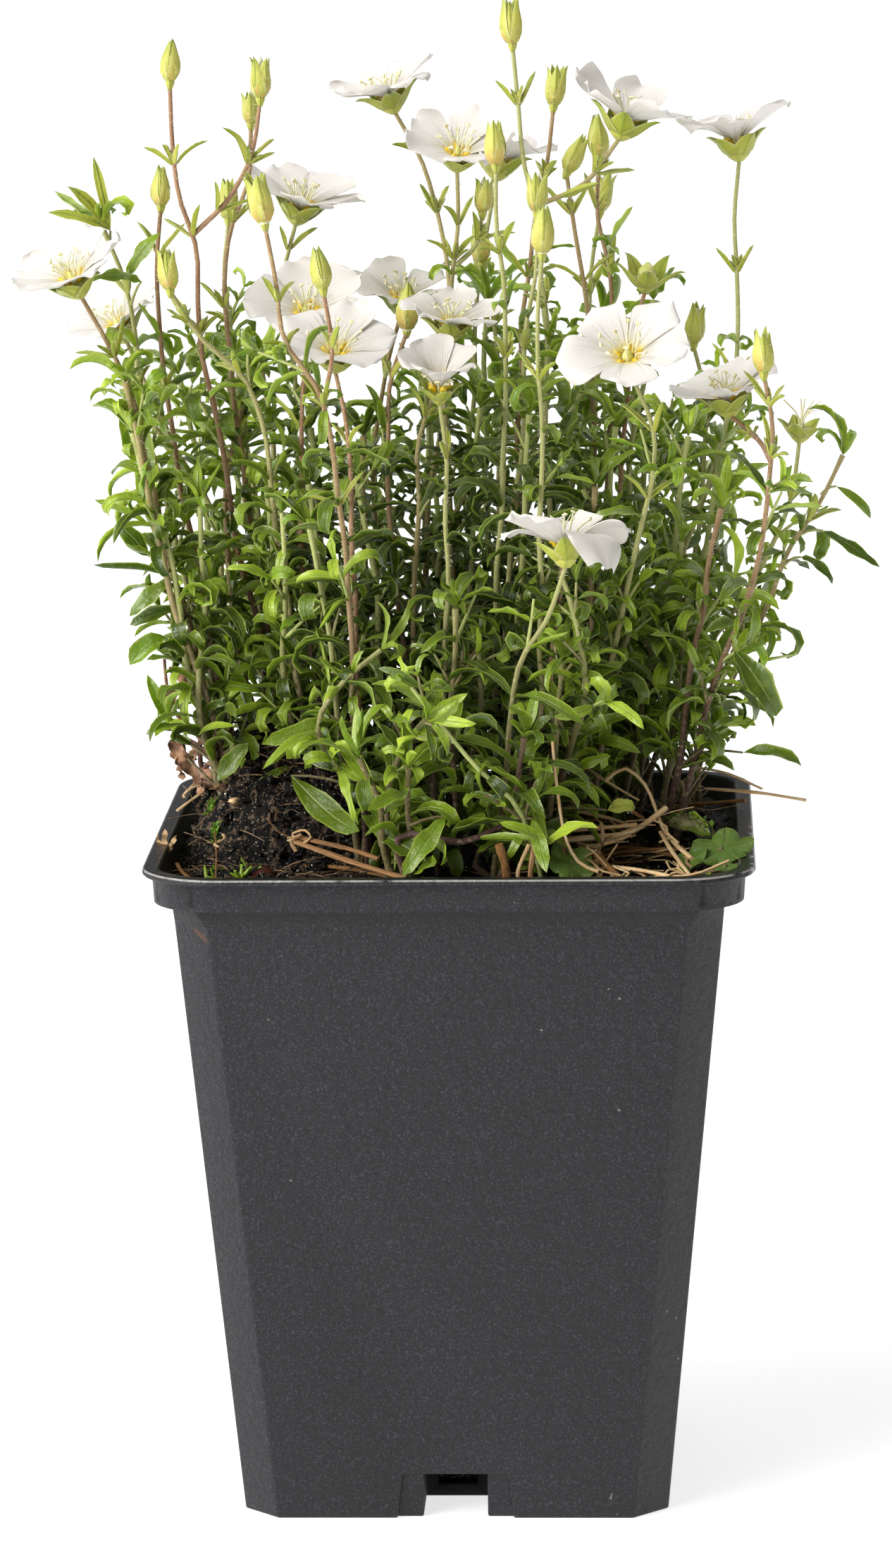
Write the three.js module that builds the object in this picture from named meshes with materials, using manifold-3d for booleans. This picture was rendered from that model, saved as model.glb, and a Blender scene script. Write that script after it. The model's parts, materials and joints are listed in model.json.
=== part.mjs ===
// A mountain sandwort in flower, in a square nursery pot.
// Millimetres, +Z up. The origin is the middle of the pot's base, on the ground, and -Y is the front.

import * as THREE from 'three';
import Module from 'manifold-3d';
import { mergeVertices } from 'three/addons/utils/BufferGeometryUtils.js';

const wasm = await Module();
wasm.setup();

// Driving dimensions

const CLEARANCE = 0.3;

const POT = {
  height: 100, rimHalf: 45, rimCorner: 12, lipHeight: 1.1,
  bandHalf: 43.6, bandCorner: 10.6, bandHeight: 5.2, bandDraft: 0.3,
  bodyTopHalf: 40.5, baseHalf: 31.8, chamfer: 5.2, chamferUnderBand: 2.6, chamferRunOut: 3.3,
  wall: 1.2, floor: 1.4, innerLedge: 4.2, cornerSteps: 4,
};

const NOTCH = {
  width: 9.6, height: 7, depth: 11.5, panelTop: 15.6, panelBase: 17.6, panelDepth: 0.9,
  slotWidth: 6, slotLow: 2, slotHigh: 5,
};

const SOIL = { level: 93.8, cells: 13, crownHeight: 4, crownSpread: 24, bumpHeight: 0.8 };
const SOIL_HEAPS = [
  { x: -27, y: 2, height: 10, spread: 11 },
  { x: 34, y: 30, height: -4, spread: 13 },
];

const CROWN = { edge: 1.15, depth: 6, above: 1.6, sides: 5, stemGap: 1.75, stemDepth: 0.7 };

// Leafy stems: how far each wanders from its clump's middle, how much shorter the next one is,
// and where along it (from 0 to 1) it bends and carries its pairs of leaves

const LEAFY = {
  radius: 0.65, aside: 2.6, asideMore: 1.4, shorter: 14, shorterEach: 8, waver: 1.6,
  bends: [0.3, 0.65, 1], pairs: [0.36, 0.58, 0.79, 1],
};
const STALK = { radius: 0.52, straight: 0.6, pairs: [0.34, 0.56], tuftPairs: [0.8, 1] };
const NODE_STRETCH = 1.3;

const LEAF = {
  length: 12.5, width: 3.5, keel: 0.85, elevation: 38, curl: 62,
  tipSize: 0.75, tipElevation: 60, tipCurl: 30, asideJitter: 30, elevationJitter: 14, rollJitter: 50,
};

// A leaf's outline: how far along, and its share of the full width there

const LONG_LEAF = [[0.4, 1], [0.76, 0.76]];
const SHORT_LEAF = [[0.48, 1]];
const SHORT_SHARE = 0.4;

const BUD = {
  length: 5.8, radius: 1.55, sides: 5, neck: 0.7, seat: 0.4, belly: 0.28, shoulder: 0.62, shoulderShare: 0.85,
};
const CALYX = {
  sepals: 5, reach: 5.2, tipHeight: 3.6, notch: 2.2, notchHeight: 2.2, cup: 1.9, spentSpread: 1.1,
};
const FLOWER = {
  radius: 9.6, petalThickness: 0.62, rise: 0.34, petals: 5, under: 2.7, throat: 3.2, top: 3.6,
};

// One petal's share of the bowl: turn in petals, inner and outer reach, and wave of the edge

const LOBE = [
  { turn: -0.5, inner: 0.46, outer: 0.58, wave: 0 },
  { turn: -0.25, inner: 0.5, outer: 1, wave: 0.35 },
  { turn: 0.25, inner: 0.5, outer: 1, wave: -0.35 },
];

const COLOUR = {
  pot: 0x3a3b3f, soil: 0x241c16, green: 0x4f7f2a, petal: 0xf6f5ee,
  straw: 0xc9a46b, paleStraw: 0xd8c48c, deadLeaf: 0x7d5433, weed: 0x5f8f2c,
};

// How far the stems spread between the soil and the top of the leaves

const SPREAD = { low: 96, high: 172, gain: 0.42 };

// Every clump: where its crown stands, how high its leafy stems reach and how many there are,
// and its flower stalks. A stalk's path starts at the crown, or part way up another stalk.

const CLUMPS = [
  { crown: [-6.4, -31], top: 128, leafy: 3, stalks: [] },
  { crown: [6.4, -30], top: 126, leafy: 1, stalks: [
    { path: [[11, -32, 129], [15, -36, 137], [17.6, -38, 144.7]],
      end: 'flower', lean: [-4, -14], turn: 20 },
  ] },
  { crown: [-12.8, -18.6], top: 150, leafy: 1, stalks: [
    { path: [[-15.5, -28, 152], [-17.5, -33, 167.5], [-22, -33, 176], [-24, -32, 182], [-25.6, -31, 193.5]],
      end: 'bud', lean: [-10, 0], size: 1.2 },
    { fork: [-17.5, -33, 167.5], path: [[-16, -35.5, 176], [-17, -36, 184.5]],
      end: 'bud', lean: [-8, 0] },
    { path: [[-15, -19, 160], [-16.6, -16, 170.8]], end: 'flower', lean: [3, 24], turn: 8, size: 1.04 },
  ] },
  { crown: [0, -18.6], top: 148, leafy: 2, stalks: [
    { path: [[-0.5, -22, 158], [-1.1, -20, 166.5]],
      end: 'flower', lean: [2, 16], turn: 40, size: 0.66, rise: 0.95 },
  ] },
  { crown: [12.8, -18.6], top: 150, leafy: 2, stalks: [
    { path: [[13.6, -21, 170], [14.2, -22, 188]], end: 'bud', lean: [2, 0], size: 1.1 },
  ] },
  { crown: [-32, -6.2], top: 170, leafy: 2, stalks: [
    { path: [[-46.4, -8, 160], [-49.3, -9, 172], [-54.5, -10, 181.4]],
      end: 'flower', lean: [-22, 20], turn: 0 },
    { path: [[-43, 3, 165], [-43.9, 5, 185.5], [-43.7, 6, 193]], end: 'bud', lean: [2, 4] },
    { path: [[-47, 0, 166], [-48.4, 2, 180], [-52, 2, 190]], end: 'tuft', lean: [-8, 0] },
  ] },
  { crown: [-19.2, -6.2], top: 163, leafy: 2, stalks: [
    { path: [[-30.5, -12, 170], [-38.2, -15, 177], [-40.7, -16, 182.5]], end: 'bud', lean: [-4, 0] },
    { path: [[-23, -1, 160], [-21.8, 7, 174.7]], end: 'flower', lean: [-4, 30], turn: 30, size: 0.98 },
  ] },
  { crown: [-6.4, -6.2], top: 158, leafy: 1, stalks: [
    { path: [[-4, -6, 162], [0, -5, 174]], end: 'flower', lean: [6, 12], turn: 15, size: 0.85 },
    { path: [[-9.7, 3, 167], [-6.9, 6, 174]], end: 'bud', lean: [3, 4], size: 1.15 },
  ] },
  { crown: [6.4, -6.2], top: 164, leafy: 1, stalks: [
    { path: [[11.5, -6, 172], [13.1, -4, 192.5]], end: 'bud', lean: [2, 6], size: 0.95 },
    { path: [[8.4, -13, 172], [8.1, -15, 187], [7.4, -16, 200.5]], end: 'bud', lean: [-1, 3] },
  ] },
  { crown: [19.2, -6.2], top: 170, leafy: 2, stalks: [
    { path: [[29, -20, 152], [30.4, -26, 162], [26.9, -28, 171.6]],
      end: 'flower', lean: [-6, 38], turn: 52, size: 1.06 },
  ] },
  { crown: [32, -6.2], top: 154, leafy: 2, stalks: [
    { path: [[45, -19, 140], [47.3, -28, 158.5], [46.8, -31, 166], [46.3, -32, 171.5]],
      end: 'bud', lean: [-2, 0] },
    { fork: [47.3, -28, 158.5], path: [[44.8, -19, 161], [41.6, -14, 163.5]],
      end: 'flower', lean: [-12, 8], turn: 64, size: 0.92 },
    { path: [[44, -4, 128], [53, -3, 146], [58.5, -2, 156]], end: 'tuft', lean: [14, 0] },
  ] },
  { crown: [-25.6, 6.2], top: 184, leafy: 1, stalks: [
    { path: [[-37.5, 1, 174], [-38.4, 0, 189.5], [-41.3, 0, 199], [-41.5, 0, 212]],
      end: 'bud', lean: [4, 0] },
    { fork: [-38.4, 0, 189.5], path: [[-35.2, -2, 193], [-29.7, -3, 200], [-27.8, -4, 209.7]],
      end: 'bud', lean: [1, 0] },
    { path: [[-34, 7, 178], [-33, 9, 190], [-29.2, 10, 200], [-30.2, 10, 205]],
      end: 'bud', lean: [0, 6], size: 0.8 },
  ] },
  { crown: [-12.8, 6.2], top: 168, leafy: 2, stalks: [] },
  { crown: [0, 6.2], top: 166, leafy: 1, stalks: [
    { path: [[-1, 8, 172], [0.6, 6, 184], [1.3, 5, 190], [1, 4, 198.6]],
      end: 'flower', lean: [4, 26], turn: 70, size: 0.92 },
    { fork: [0.6, 6, 184], path: [[3.6, 8, 187], [4.6, 8, 191.5]],
      end: 'bud', lean: [2, 8], size: 0.85 },
  ] },
  { crown: [12.8, 6.2], top: 180, leafy: 1, stalks: [
    { path: [[14, 4, 178], [12.4, 2, 193], [10.4, 2, 207.5], [9.5, 2, 217]],
      end: 'bud', lean: [-3, 0], size: 1.05 },
    { fork: [12.4, 2, 193], path: [[16, 3, 194.5], [21.5, 4, 197.5], [25.3, 4, 203]],
      end: 'flower', lean: [18, 4], turn: 12, size: 1.02 },
  ] },
  { crown: [25.6, 6.2], top: 166, leafy: 1, stalks: [
    { path: [[42, 14, 165], [42.8, 16, 181.5], [43.3, 16, 198.8]],
      end: 'flower', lean: [-8, 0], turn: 48, size: 0.93, rise: 0.5 },
    { path: [[45, 8, 136], [51, 8, 147.5], [52.2, 8, 157]], end: 'spent', lean: [6, 8] },
  ] },
  { crown: [-32, 18.6], top: 168, leafy: 1, stalks: [
    { path: [[-46, 25, 160], [-51, 25, 171]], end: 'flower', lean: [-24, 16], turn: 34, size: 0.95 },
  ] },
  { crown: [-19.2, 18.6], top: 178, leafy: 1, stalks: [
    { path: [[-26, 26, 172], [-25.8, 25, 184.8], [-24.5, 24, 189]],
      end: 'flower', lean: [14, 10], turn: 58, size: 0.98 },
  ] },
  { crown: [-6.4, 18.6], top: 170, leafy: 1, stalks: [
    { path: [[-1, 19, 175], [-2.5, 21, 190], [-5, 21.5, 199.5], [-9.1, 22, 206]],
      end: 'flower', lean: [-18, 6], turn: 26, size: 0.9 },
  ] },
  { crown: [6.4, 18.6], top: 178, leafy: 1, stalks: [
    { path: [[11, 19, 180], [13.8, 17, 196], [15.2, 18, 206.7]], end: 'bud', lean: [6, 0], size: 0.95 },
    { path: [[5.5, 28, 172], [3.8, 30, 181.8]], end: 'bud', lean: [-4, 0] },
  ] },
  { crown: [19.2, 18.6], top: 188, leafy: 1, stalks: [
    { path: [[23.5, 25, 180], [22, 28, 190], [22, 28, 198]], end: 'bud', lean: [-4, 0], size: 1.05 },
    { path: [[20, 15, 180], [18, 14, 190], [17.2, 14, 197]], end: 'bud', lean: [24, 0], size: 0.95 },
    { path: [[27, 17, 172], [29, 16, 179]], end: 'bud', lean: [6, 6] },
  ] },
  { crown: [32, 18.6], top: 163, leafy: 1, stalks: [
    { path: [[38, 27, 158], [36.3, 26, 169.5]], end: 'bud', lean: [6, 0] },
  ] },
  { crown: [-25.6, 31], top: 166, leafy: 1, stalks: [
    { path: [[-36, 36, 172], [-35.5, 33, 188.5]], end: 'bud', lean: [0, 0] },
  ] },
  { crown: [-12.8, 31], top: 162, leafy: 1, stalks: [
    { path: [[-12, 33, 164], [-8.7, 28, 174.5]], end: 'flower', lean: [4, 18], turn: 44, size: 0.9 },
  ] },
  { crown: [0, 31], top: 168, leafy: 1, stalks: [
    { path: [[3, 38, 178], [6, 36, 194.5]], end: 'flower', lean: [8, -6], turn: 5, size: 0.95 },
  ] },
  { crown: [12.8, 31], top: 172, leafy: 1, stalks: [
    { path: [[20, 38, 176], [21.9, 37, 189]], end: 'bud', lean: [8, 0] },
  ] },
  { crown: [25.6, 31], top: 158, leafy: 2, stalks: [] },
];

// Dry and stray pieces lying on the soil: each is a list of sticks, a stick being its ends' places

const STRAW_BUNDLE = [
  [[15.5, -15.5, 96.4], [34.5, -18.5, 99.8]],
  [[17, -19.5, 96.2], [34, -15, 100.4]],
  [[19, -13.6, 97.6], [33, -20.2, 98.6]],
  [[29, -13.6, 107.5], [24.6, -19, 94]],
];
const STRAW_LEFT = [
  [[-27, -17, 96.6], [-9.5, -25, 96.6]],
  [[-25, -20.5, 96.2], [-11, -22.8, 97.4]],
  [[-22, -15.5, 97.4], [-15, -26, 96.2]],
];
const STRAW_OVER_RIM = [
  [[34, 13, 100.1], [53.5, 9, 101.9]],
  [[38, 9, 100.4], [50.5, 12.8, 101.6]],
];
const STRAW = { radius: 0.75, thin: 0.5, sides: 4, steps: 4 };
const HANGING_STRAW = [[17.5, -31, 92], [17.2, -32.5, 104], [15.6, -31.5, 117.5]];
const DEAD_LEAVES = [
  { root: [-35.5, 11, 93], toward: 150, length: 9, width: 3.6, elevation: 80, curl: 120 },
  { root: [-35.5, 11, 93], toward: 235, length: 8.5, width: 3.2, elevation: 78, curl: 100 },
];
const DEAD_STUB = { height: 7, leavesAt: 6, radius: 0.9, halfRoot: 0.5, sides: 5 };
const WEED = {
  root: [31, -26, 93], lobes: 5, radius: 5.5, height: 6.8, toward: [3, -1],
  stalkRadius: 0.6, thickness: 0.7, scallop: 0.22, narrow: 0.8, tilt: [0.25, -0.1], beyond: 1.5,
};

// Small helpers

const radians = THREE.MathUtils.degToRad;
const point = ([x, y, z]) => new THREE.Vector3(x, y, z);

// A seeded row of numbers between 0 and 1, so that the plant grows the same way each time

function draws(seed) {
  let state = seed >>> 0;
  const next = () => {
    state = (Math.imul(state, 1664525) + 1013904223) >>> 0;
    return state / 4294967296;
  };
  next();
  next();
  return next;
}

// Manifold solids and three.js geometry

function solid(geometry) {
  const bare = geometry.clone();
  bare.deleteAttribute('normal');
  bare.deleteAttribute('uv');
  const merged = mergeVertices(bare);
  const vertProperties = Float32Array.from(merged.attributes.position.array);
  const triVerts = Uint32Array.from(merged.index.array);
  return new wasm.Manifold(new wasm.Mesh({ numProp: 3, vertProperties, triVerts }));
}

function geometryOf(manifold) {
  const mesh = manifold.getMesh();
  const geometry = new THREE.BufferGeometry();
  geometry.setAttribute('position', new THREE.BufferAttribute(Float32Array.from(mesh.vertProperties), 3));
  geometry.setIndex(new THREE.BufferAttribute(Uint32Array.from(mesh.triVerts), 1));
  geometry.computeVertexNormals();
  return geometry;
}

const joined = (solids) => solids.reduce((whole, piece) => whole.add(piece));

// A closed skin over a row of rings with equal numbers of points, each counter-clockwise as seen
// from the far end. A last ring of one point is a tip.

function loft(rings) {
  const count = rings[0].length;
  const points = rings.flat();
  const faces = [];
  for (let k = 0; k + 1 < rings.length; k += 1) {
    const here = k * count;
    const there = here + count;
    for (let i = 0; i < count; i += 1) {
      const j = (i + 1) % count;
      if (rings[k + 1].length === 1) faces.push(here + i, here + j, there);
      else faces.push(here + i, here + j, there + j, here + i, there + j, there + i);
    }
  }
  for (let i = 1; i + 1 < count; i += 1) faces.push(0, i + 1, i);
  if (rings.at(-1).length > 1) {
    const last = (rings.length - 1) * count;
    for (let i = 1; i + 1 < count; i += 1) faces.push(last, last + i, last + i + 1);
  }
  const geometry = new THREE.BufferGeometry().setFromPoints(points);
  geometry.setIndex(faces);
  return geometry;
}

function circle(radius, z, sides, turn = 0) {
  return Array.from({ length: sides }, (_, i) => {
    const angle = (i / sides) * Math.PI * 2 + turn;
    return new THREE.Vector3(radius * Math.cos(angle), radius * Math.sin(angle), z);
  });
}

// A round bar through points, as an extruded polygon

function bar(points, radius, sides, steps) {
  const outline = new THREE.Shape(circle(radius, 0, sides).map(({ x, y }) => new THREE.Vector2(x, y)));
  const extrudePath = points.length === 2
    ? new THREE.LineCurve3(points[0], points[1])
    : new THREE.CatmullRomCurve3(points);
  return new THREE.ExtrudeGeometry(outline, { extrudePath, steps, bevelEnabled: false });
}

// The pot

function cutSquare(half, cut, z) {
  const side = half - cut;
  return [
    [half, -side], [half, side], [side, half], [-side, half],
    [-half, side], [-half, -side], [-side, -half], [side, -half],
  ].map(([x, y]) => new THREE.Vector3(x, y, z));
}

function roundSquare(half, radius, z) {
  const ring = [];
  for (let corner = 0; corner < 4; corner += 1) {
    const middle = new THREE.Vector2(half - radius, half - radius);
    middle.rotateAround(new THREE.Vector2(), corner * Math.PI / 2);
    for (let step = 0; step <= POT.cornerSteps; step += 1) {
      const angle = (corner + step / POT.cornerSteps) * Math.PI / 2;
      const x = middle.x + radius * Math.cos(angle);
      const y = middle.y + radius * Math.sin(angle);
      ring.push(new THREE.Vector3(x, y, z));
    }
  }
  return ring;
}

const bodyTop = POT.height - POT.bandHeight;
const bodyHalf = (z) => POT.baseHalf + (POT.bodyTopHalf - POT.baseHalf) * (z / bodyTop);
const insetCut = (cut, inset) => cut - inset * (2 - Math.SQRT2);

// The tapered inside of the body, at a distance in from its outer face

function tapered(inset, low, high) {
  const cut = insetCut(POT.chamfer, inset);
  return loft([cutSquare(bodyHalf(low) - inset, cut, low), cutSquare(bodyHalf(high) - inset, cut, high)]);
}

// A block at the front wall's foot: half widths, front and back faces at its two heights

function footBlock(low, high) {
  const ring = ({ half, front, back, z }) => [[-half, -front], [half, -front], [half, -back], [-half, -back]]
    .map(([x, y]) => new THREE.Vector3(x, y, z));
  return loft([ring(low), ring(high)]);
}

function aroundFourSides(geometry) {
  return [0, 1, 2, 3].map((side) => solid(geometry.clone().rotateZ(side * Math.PI / 2)));
}

function notchHousings(extra) {
  const top = NOTCH.height + POT.wall + extra;
  const inside = (z) => bodyHalf(z) - POT.wall / 2;
  const panelBack = (z) => bodyHalf(z) - NOTCH.panelDepth - POT.wall - extra;
  const panelHalf = NOTCH.panelBase / 2 + POT.wall + extra;
  const pocketBack = POT.baseHalf - NOTCH.depth - POT.wall - extra;
  const pocketHalf = NOTCH.width / 2 + POT.wall + extra;
  const panel = footBlock(
    { half: panelHalf, front: inside(0), back: panelBack(0), z: 0 },
    { half: panelHalf, front: inside(top), back: panelBack(top), z: top },
  );
  const pocket = footBlock(
    { half: pocketHalf, front: inside(0), back: pocketBack, z: 0 },
    { half: pocketHalf, front: inside(top), back: pocketBack, z: top },
  );
  return joined([...aroundFourSides(panel), ...aroundFourSides(pocket)]);
}

function notchCuts() {
  const below = -1;
  const outside = POT.baseHalf + 5;
  const face = (z) => bodyHalf(z) - NOTCH.panelDepth;
  const panel = footBlock(
    { half: NOTCH.panelBase / 2, front: outside, back: face(below), z: below },
    { half: NOTCH.panelTop / 2, front: outside, back: face(NOTCH.height), z: NOTCH.height },
  );
  const pocketBack = POT.baseHalf - NOTCH.depth;
  const pocket = footBlock(
    { half: NOTCH.width / 2, front: outside, back: pocketBack, z: below },
    { half: NOTCH.width / 2, front: outside, back: pocketBack, z: NOTCH.height },
  );
  const slotBack = pocketBack - POT.wall * 2;
  const slot = footBlock(
    { half: NOTCH.slotWidth / 2, front: outside, back: slotBack, z: NOTCH.slotLow },
    { half: NOTCH.slotWidth / 2, front: outside, back: slotBack, z: NOTCH.slotHigh },
  );
  return joined([panel, pocket, slot].flatMap(aroundFourSides));
}

function pot() {
  const runOut = bodyTop - POT.chamferRunOut;
  const lipLow = POT.height - POT.lipHeight;
  const ledge = POT.height - POT.innerLedge;
  const above = POT.height + 1;
  const body = loft([
    cutSquare(bodyHalf(0), POT.chamfer, 0),
    cutSquare(bodyHalf(runOut), POT.chamfer, runOut),
    cutSquare(bodyHalf(bodyTop), POT.chamferUnderBand, bodyTop + POT.wall),
  ]);
  const band = loft([
    roundSquare(POT.bandHalf - POT.bandDraft, POT.bandCorner, bodyTop),
    roundSquare(POT.bandHalf, POT.bandCorner, lipLow),
  ]);
  const lip = loft([lipLow, POT.height].map((z) => roundSquare(POT.rimHalf, POT.rimCorner, z)));
  const bandInside = loft([ledge, above].map((z) => (
    roundSquare(POT.bandHalf - POT.wall, POT.bandCorner - POT.wall, z))));
  const outside = joined([body, band, lip].map(solid));
  const inside = joined([tapered(POT.wall, POT.floor, above), bandInside].map(solid));
  return outside.subtract(inside).add(notchHousings(0)).subtract(notchCuts());
}

// The soil: a tapered block with a lumpy top

function soilHeight(x, y) {
  const crown = SOIL.crownHeight * Math.exp(-(x * x + y * y) / (SOIL.crownSpread * SOIL.crownSpread));
  const heap = SOIL_HEAPS.reduce((sum, { x: heapX, y: heapY, height, spread }) => (
    sum + height * Math.exp(-((x - heapX) ** 2 + (y - heapY) ** 2) / (spread * spread))), 0);
  const lumps = Math.sin(x * 0.55 + 1.3 * Math.sin(y * 0.31)) * Math.sin(y * 0.62 + 0.8 + Math.sin(x * 0.23));
  return SOIL.level + crown + heap + SOIL.bumpHeight * lumps;
}

function soilBlock() {
  const size = POT.rimHalf * 2;
  const block = new THREE.BoxGeometry(size, size, POT.height, SOIL.cells, SOIL.cells, 1);
  block.translate(0, 0, POT.height / 2);
  const place = block.attributes.position;
  for (let i = 0; i < place.count; i += 1) {
    const top = place.getZ(i) > POT.height / 2;
    place.setZ(i, top ? soilHeight(place.getX(i), place.getY(i)) : 0);
  }
  const inset = POT.wall + CLEARANCE;
  const prism = solid(tapered(inset, POT.floor + CLEARANCE, POT.height + 20));
  return solid(block).intersect(prism).subtract(notchHousings(CLEARANCE));
}

// Where the space is taken: every stem, leaf, bud and petal is a row of round-ended rods

const taken = [];

function gapBetween(a, b) {
  const d1 = a.to.clone().sub(a.from);
  const d2 = b.to.clone().sub(b.from);
  const r = a.from.clone().sub(b.from);
  const aa = Math.max(d1.lengthSq(), 1e-9);
  const ee = Math.max(d2.lengthSq(), 1e-9);
  const f = d2.dot(r);
  const c = d1.dot(r);
  const bb = d1.dot(d2);
  const det = aa * ee - bb * bb;
  const clamp = THREE.MathUtils.clamp;
  let s = det > 1e-9 ? clamp((bb * f - c * ee) / det, 0, 1) : 0;
  let t = (bb * s + f) / ee;
  if (t < 0 || t > 1) {
    t = clamp(t, 0, 1);
    s = clamp((bb * t - c) / aa, 0, 1);
  }
  const near = a.from.clone().addScaledVector(d1, s);
  const far = b.from.clone().addScaledVector(d2, t);
  return near.distanceTo(far) - a.radius - b.radius;
}

function claim(owner, points, radius, kind, part) {
  for (let i = 0; i + 1 < points.length; i += 1) {
    taken.push({ owner, part, kind, from: points[i], to: points[i + 1], radius });
  }
}

// Stems and stalks

const crownPoint = ([x, y], up) => new THREE.Vector3(x, y, soilHeight(x, y) + up);

function spreadFrom([x, y], z) {
  const along = THREE.MathUtils.clamp((z - SPREAD.low) / (SPREAD.high - SPREAD.low), 0, 1);
  const gain = 1 + SPREAD.gain * along;
  return new THREE.Vector3(x * gain, y * gain, z);
}

function leafyStem(clump, number, random) {
  const around = (number / 3 + random()) * Math.PI * 2;
  const aside = LEAFY.aside + LEAFY.asideMore * random();
  const height = clump.top - LEAFY.shorter * random() - LEAFY.shorterEach * number;
  const start = crownPoint(clump.crown, CROWN.above - CROWN.stemDepth);
  const points = [start];
  for (const part of LEAFY.bends) {
    const z = start.z + (height - start.z) * part;
    const place = spreadFrom(clump.crown, z);
    place.x += Math.cos(around) * aside * (0.4 + part) + (random() - 0.5) * LEAFY.waver;
    place.y += Math.sin(around) * aside * (0.4 + part) + (random() - 0.5) * LEAFY.waver;
    points.push(place);
  }
  return { points, radius: LEAFY.radius, turn: random() * Math.PI };
}

function stalk(clump, shape, random) {
  const upper = shape.path.map(point);
  const turn = random() * Math.PI;
  if (shape.fork) return { points: [point(shape.fork), ...upper], radius: STALK.radius, shape, turn };
  const start = crownPoint(clump.crown, CROWN.above - CROWN.stemDepth);
  const first = upper[0];
  const middle = start.clone().lerp(first, 0.5);
  const pulled = spreadFrom(clump.crown, middle.z).lerp(middle, STALK.straight);
  return { points: [start, pulled, ...upper], radius: STALK.radius, shape, turn };
}

// The stems of a clump start side by side round its crown, each on the side that it leans to

const crownReach = (count) => (count > 1 ? CROWN.stemGap / (2 * Math.sin(Math.PI / count)) : 0);
const crownRadius = (count) => crownReach(count) + CROWN.edge;

function arrangeOnCrown(clump, stems) {
  const standing = stems.filter(({ shape }) => !shape?.fork);
  const count = standing.length;
  const angles = standing.map((stem) => {
    const straight = spreadFrom(clump.crown, stem.points[1].z);
    return { stem, angle: Math.atan2(stem.points[1].y - straight.y, stem.points[1].x - straight.x) };
  }).sort((a, b) => a.angle - b.angle);
  const slot = (Math.PI * 2) / count;
  const turn = angles.reduce((sum, { angle }, i) => sum + angle - i * slot, 0) / count;
  angles.forEach(({ stem }, i) => {
    const reach = crownReach(count);
    const aside = new THREE.Vector3(reach * Math.cos(turn + i * slot), reach * Math.sin(turn + i * slot), 0);
    stem.points[0].add(aside);
    stem.points[1].addScaledVector(aside, 0.5);
  });
  return crownRadius(count);
}

function facing([sideways, forward]) {
  return new THREE.Vector3(Math.tan(radians(sideways)), -Math.tan(radians(forward)), 1).normalize();
}

const UP = new THREE.Vector3(0, 0, 1);

function placed(geometry, seat, axis, turn = 0) {
  const tilt = new THREE.Quaternion().setFromUnitVectors(UP, axis);
  const spin = new THREE.Quaternion().setFromAxisAngle(UP, radians(turn));
  const matrix = new THREE.Matrix4().compose(seat, tilt.multiply(spin), new THREE.Vector3(1, 1, 1));
  return geometry.clone().applyMatrix4(matrix);
}

// Buds, calyces and flowers, each standing on +Z with the stalk's end at the origin

function bud(size) {
  const full = BUD.radius * size;
  return loft([
    circle(BUD.neck, -BUD.seat, BUD.sides),
    circle(full, BUD.length * BUD.belly * size, BUD.sides),
    circle(full * BUD.shoulderShare, BUD.length * BUD.shoulder * size, BUD.sides),
    [new THREE.Vector3(0, 0, BUD.length * size)],
  ]);
}

function calyx(size, spread) {
  const points = CALYX.sepals * 2;
  const star = Array.from({ length: points }, (_, i) => {
    const angle = (i / points) * Math.PI * 2;
    const tip = i % 2 === 0;
    const reach = (tip ? CALYX.reach * spread : CALYX.notch) * size;
    const height = (tip ? CALYX.tipHeight : CALYX.notchHeight) * size;
    return new THREE.Vector3(reach * Math.cos(angle), reach * Math.sin(angle), height);
  });
  const middle = new THREE.Vector3(0, 0, CALYX.cup * size);
  return loft([circle(BUD.neck, -BUD.seat, points), star, [middle]]);
}

// The petals are one waved bowl with five lobes, which meet at notches between them

const bowlHeight = (share, reach, rise) => FLOWER.throat + rise * reach * share ** 0.8;

function corolla(size, rise) {
  const reach = FLOWER.radius;
  const half = FLOWER.petalThickness / 2;
  const columns = Array.from({ length: FLOWER.petals }, (_, petal) => (
    LOBE.map((column) => ({ ...column, turn: column.turn + petal })))).flat();
  const ring = (which, lift) => columns.map((column) => {
    const angle = (column.turn / FLOWER.petals) * Math.PI * 2;
    const out = column[which] * reach;
    const z = bowlHeight(column[which], reach, rise) + (which === 'outer' ? column.wave : 0) + lift;
    return new THREE.Vector3(out * Math.cos(angle), out * Math.sin(angle), z).multiplyScalar(size);
  });
  const rings = [ring('inner', -half), ring('outer', -half), ring('outer', half), ring('inner', half)];
  const under = new THREE.Vector3(0, 0, FLOWER.under * size);
  const top = new THREE.Vector3(0, 0, FLOWER.top * size);
  return bowl(under, rings, top);
}

// A closed skin from one middle point out over rings and back to another middle point. The rings
// before the rim and after it are split along the same diagonals.

function bowl(first, rings, last) {
  const count = rings[0].length;
  const points = [first, ...rings.flat(), last];
  const faces = [];
  const at = (ring, i) => 1 + ring * count + (i % count);
  for (let i = 0; i < count; i += 1) {
    faces.push(0, at(0, i + 1), at(0, i));
    faces.push(points.length - 1, at(rings.length - 1, i), at(rings.length - 1, i + 1));
    for (let k = 0; k + 1 < rings.length; k += 1) {
      const corners = [at(k, i), at(k, i + 1), at(k + 1, i + 1), at(k + 1, i)];
      if (k >= rings.length / 2) corners.unshift(corners.pop());
      const [a, b, c, d] = corners;
      faces.push(a, b, c, a, c, d);
    }
  }
  const geometry = new THREE.BufferGeometry().setFromPoints(points);
  geometry.setIndex(faces);
  return geometry;
}

// The rods that a flower's petals take up, three to a petal

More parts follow.
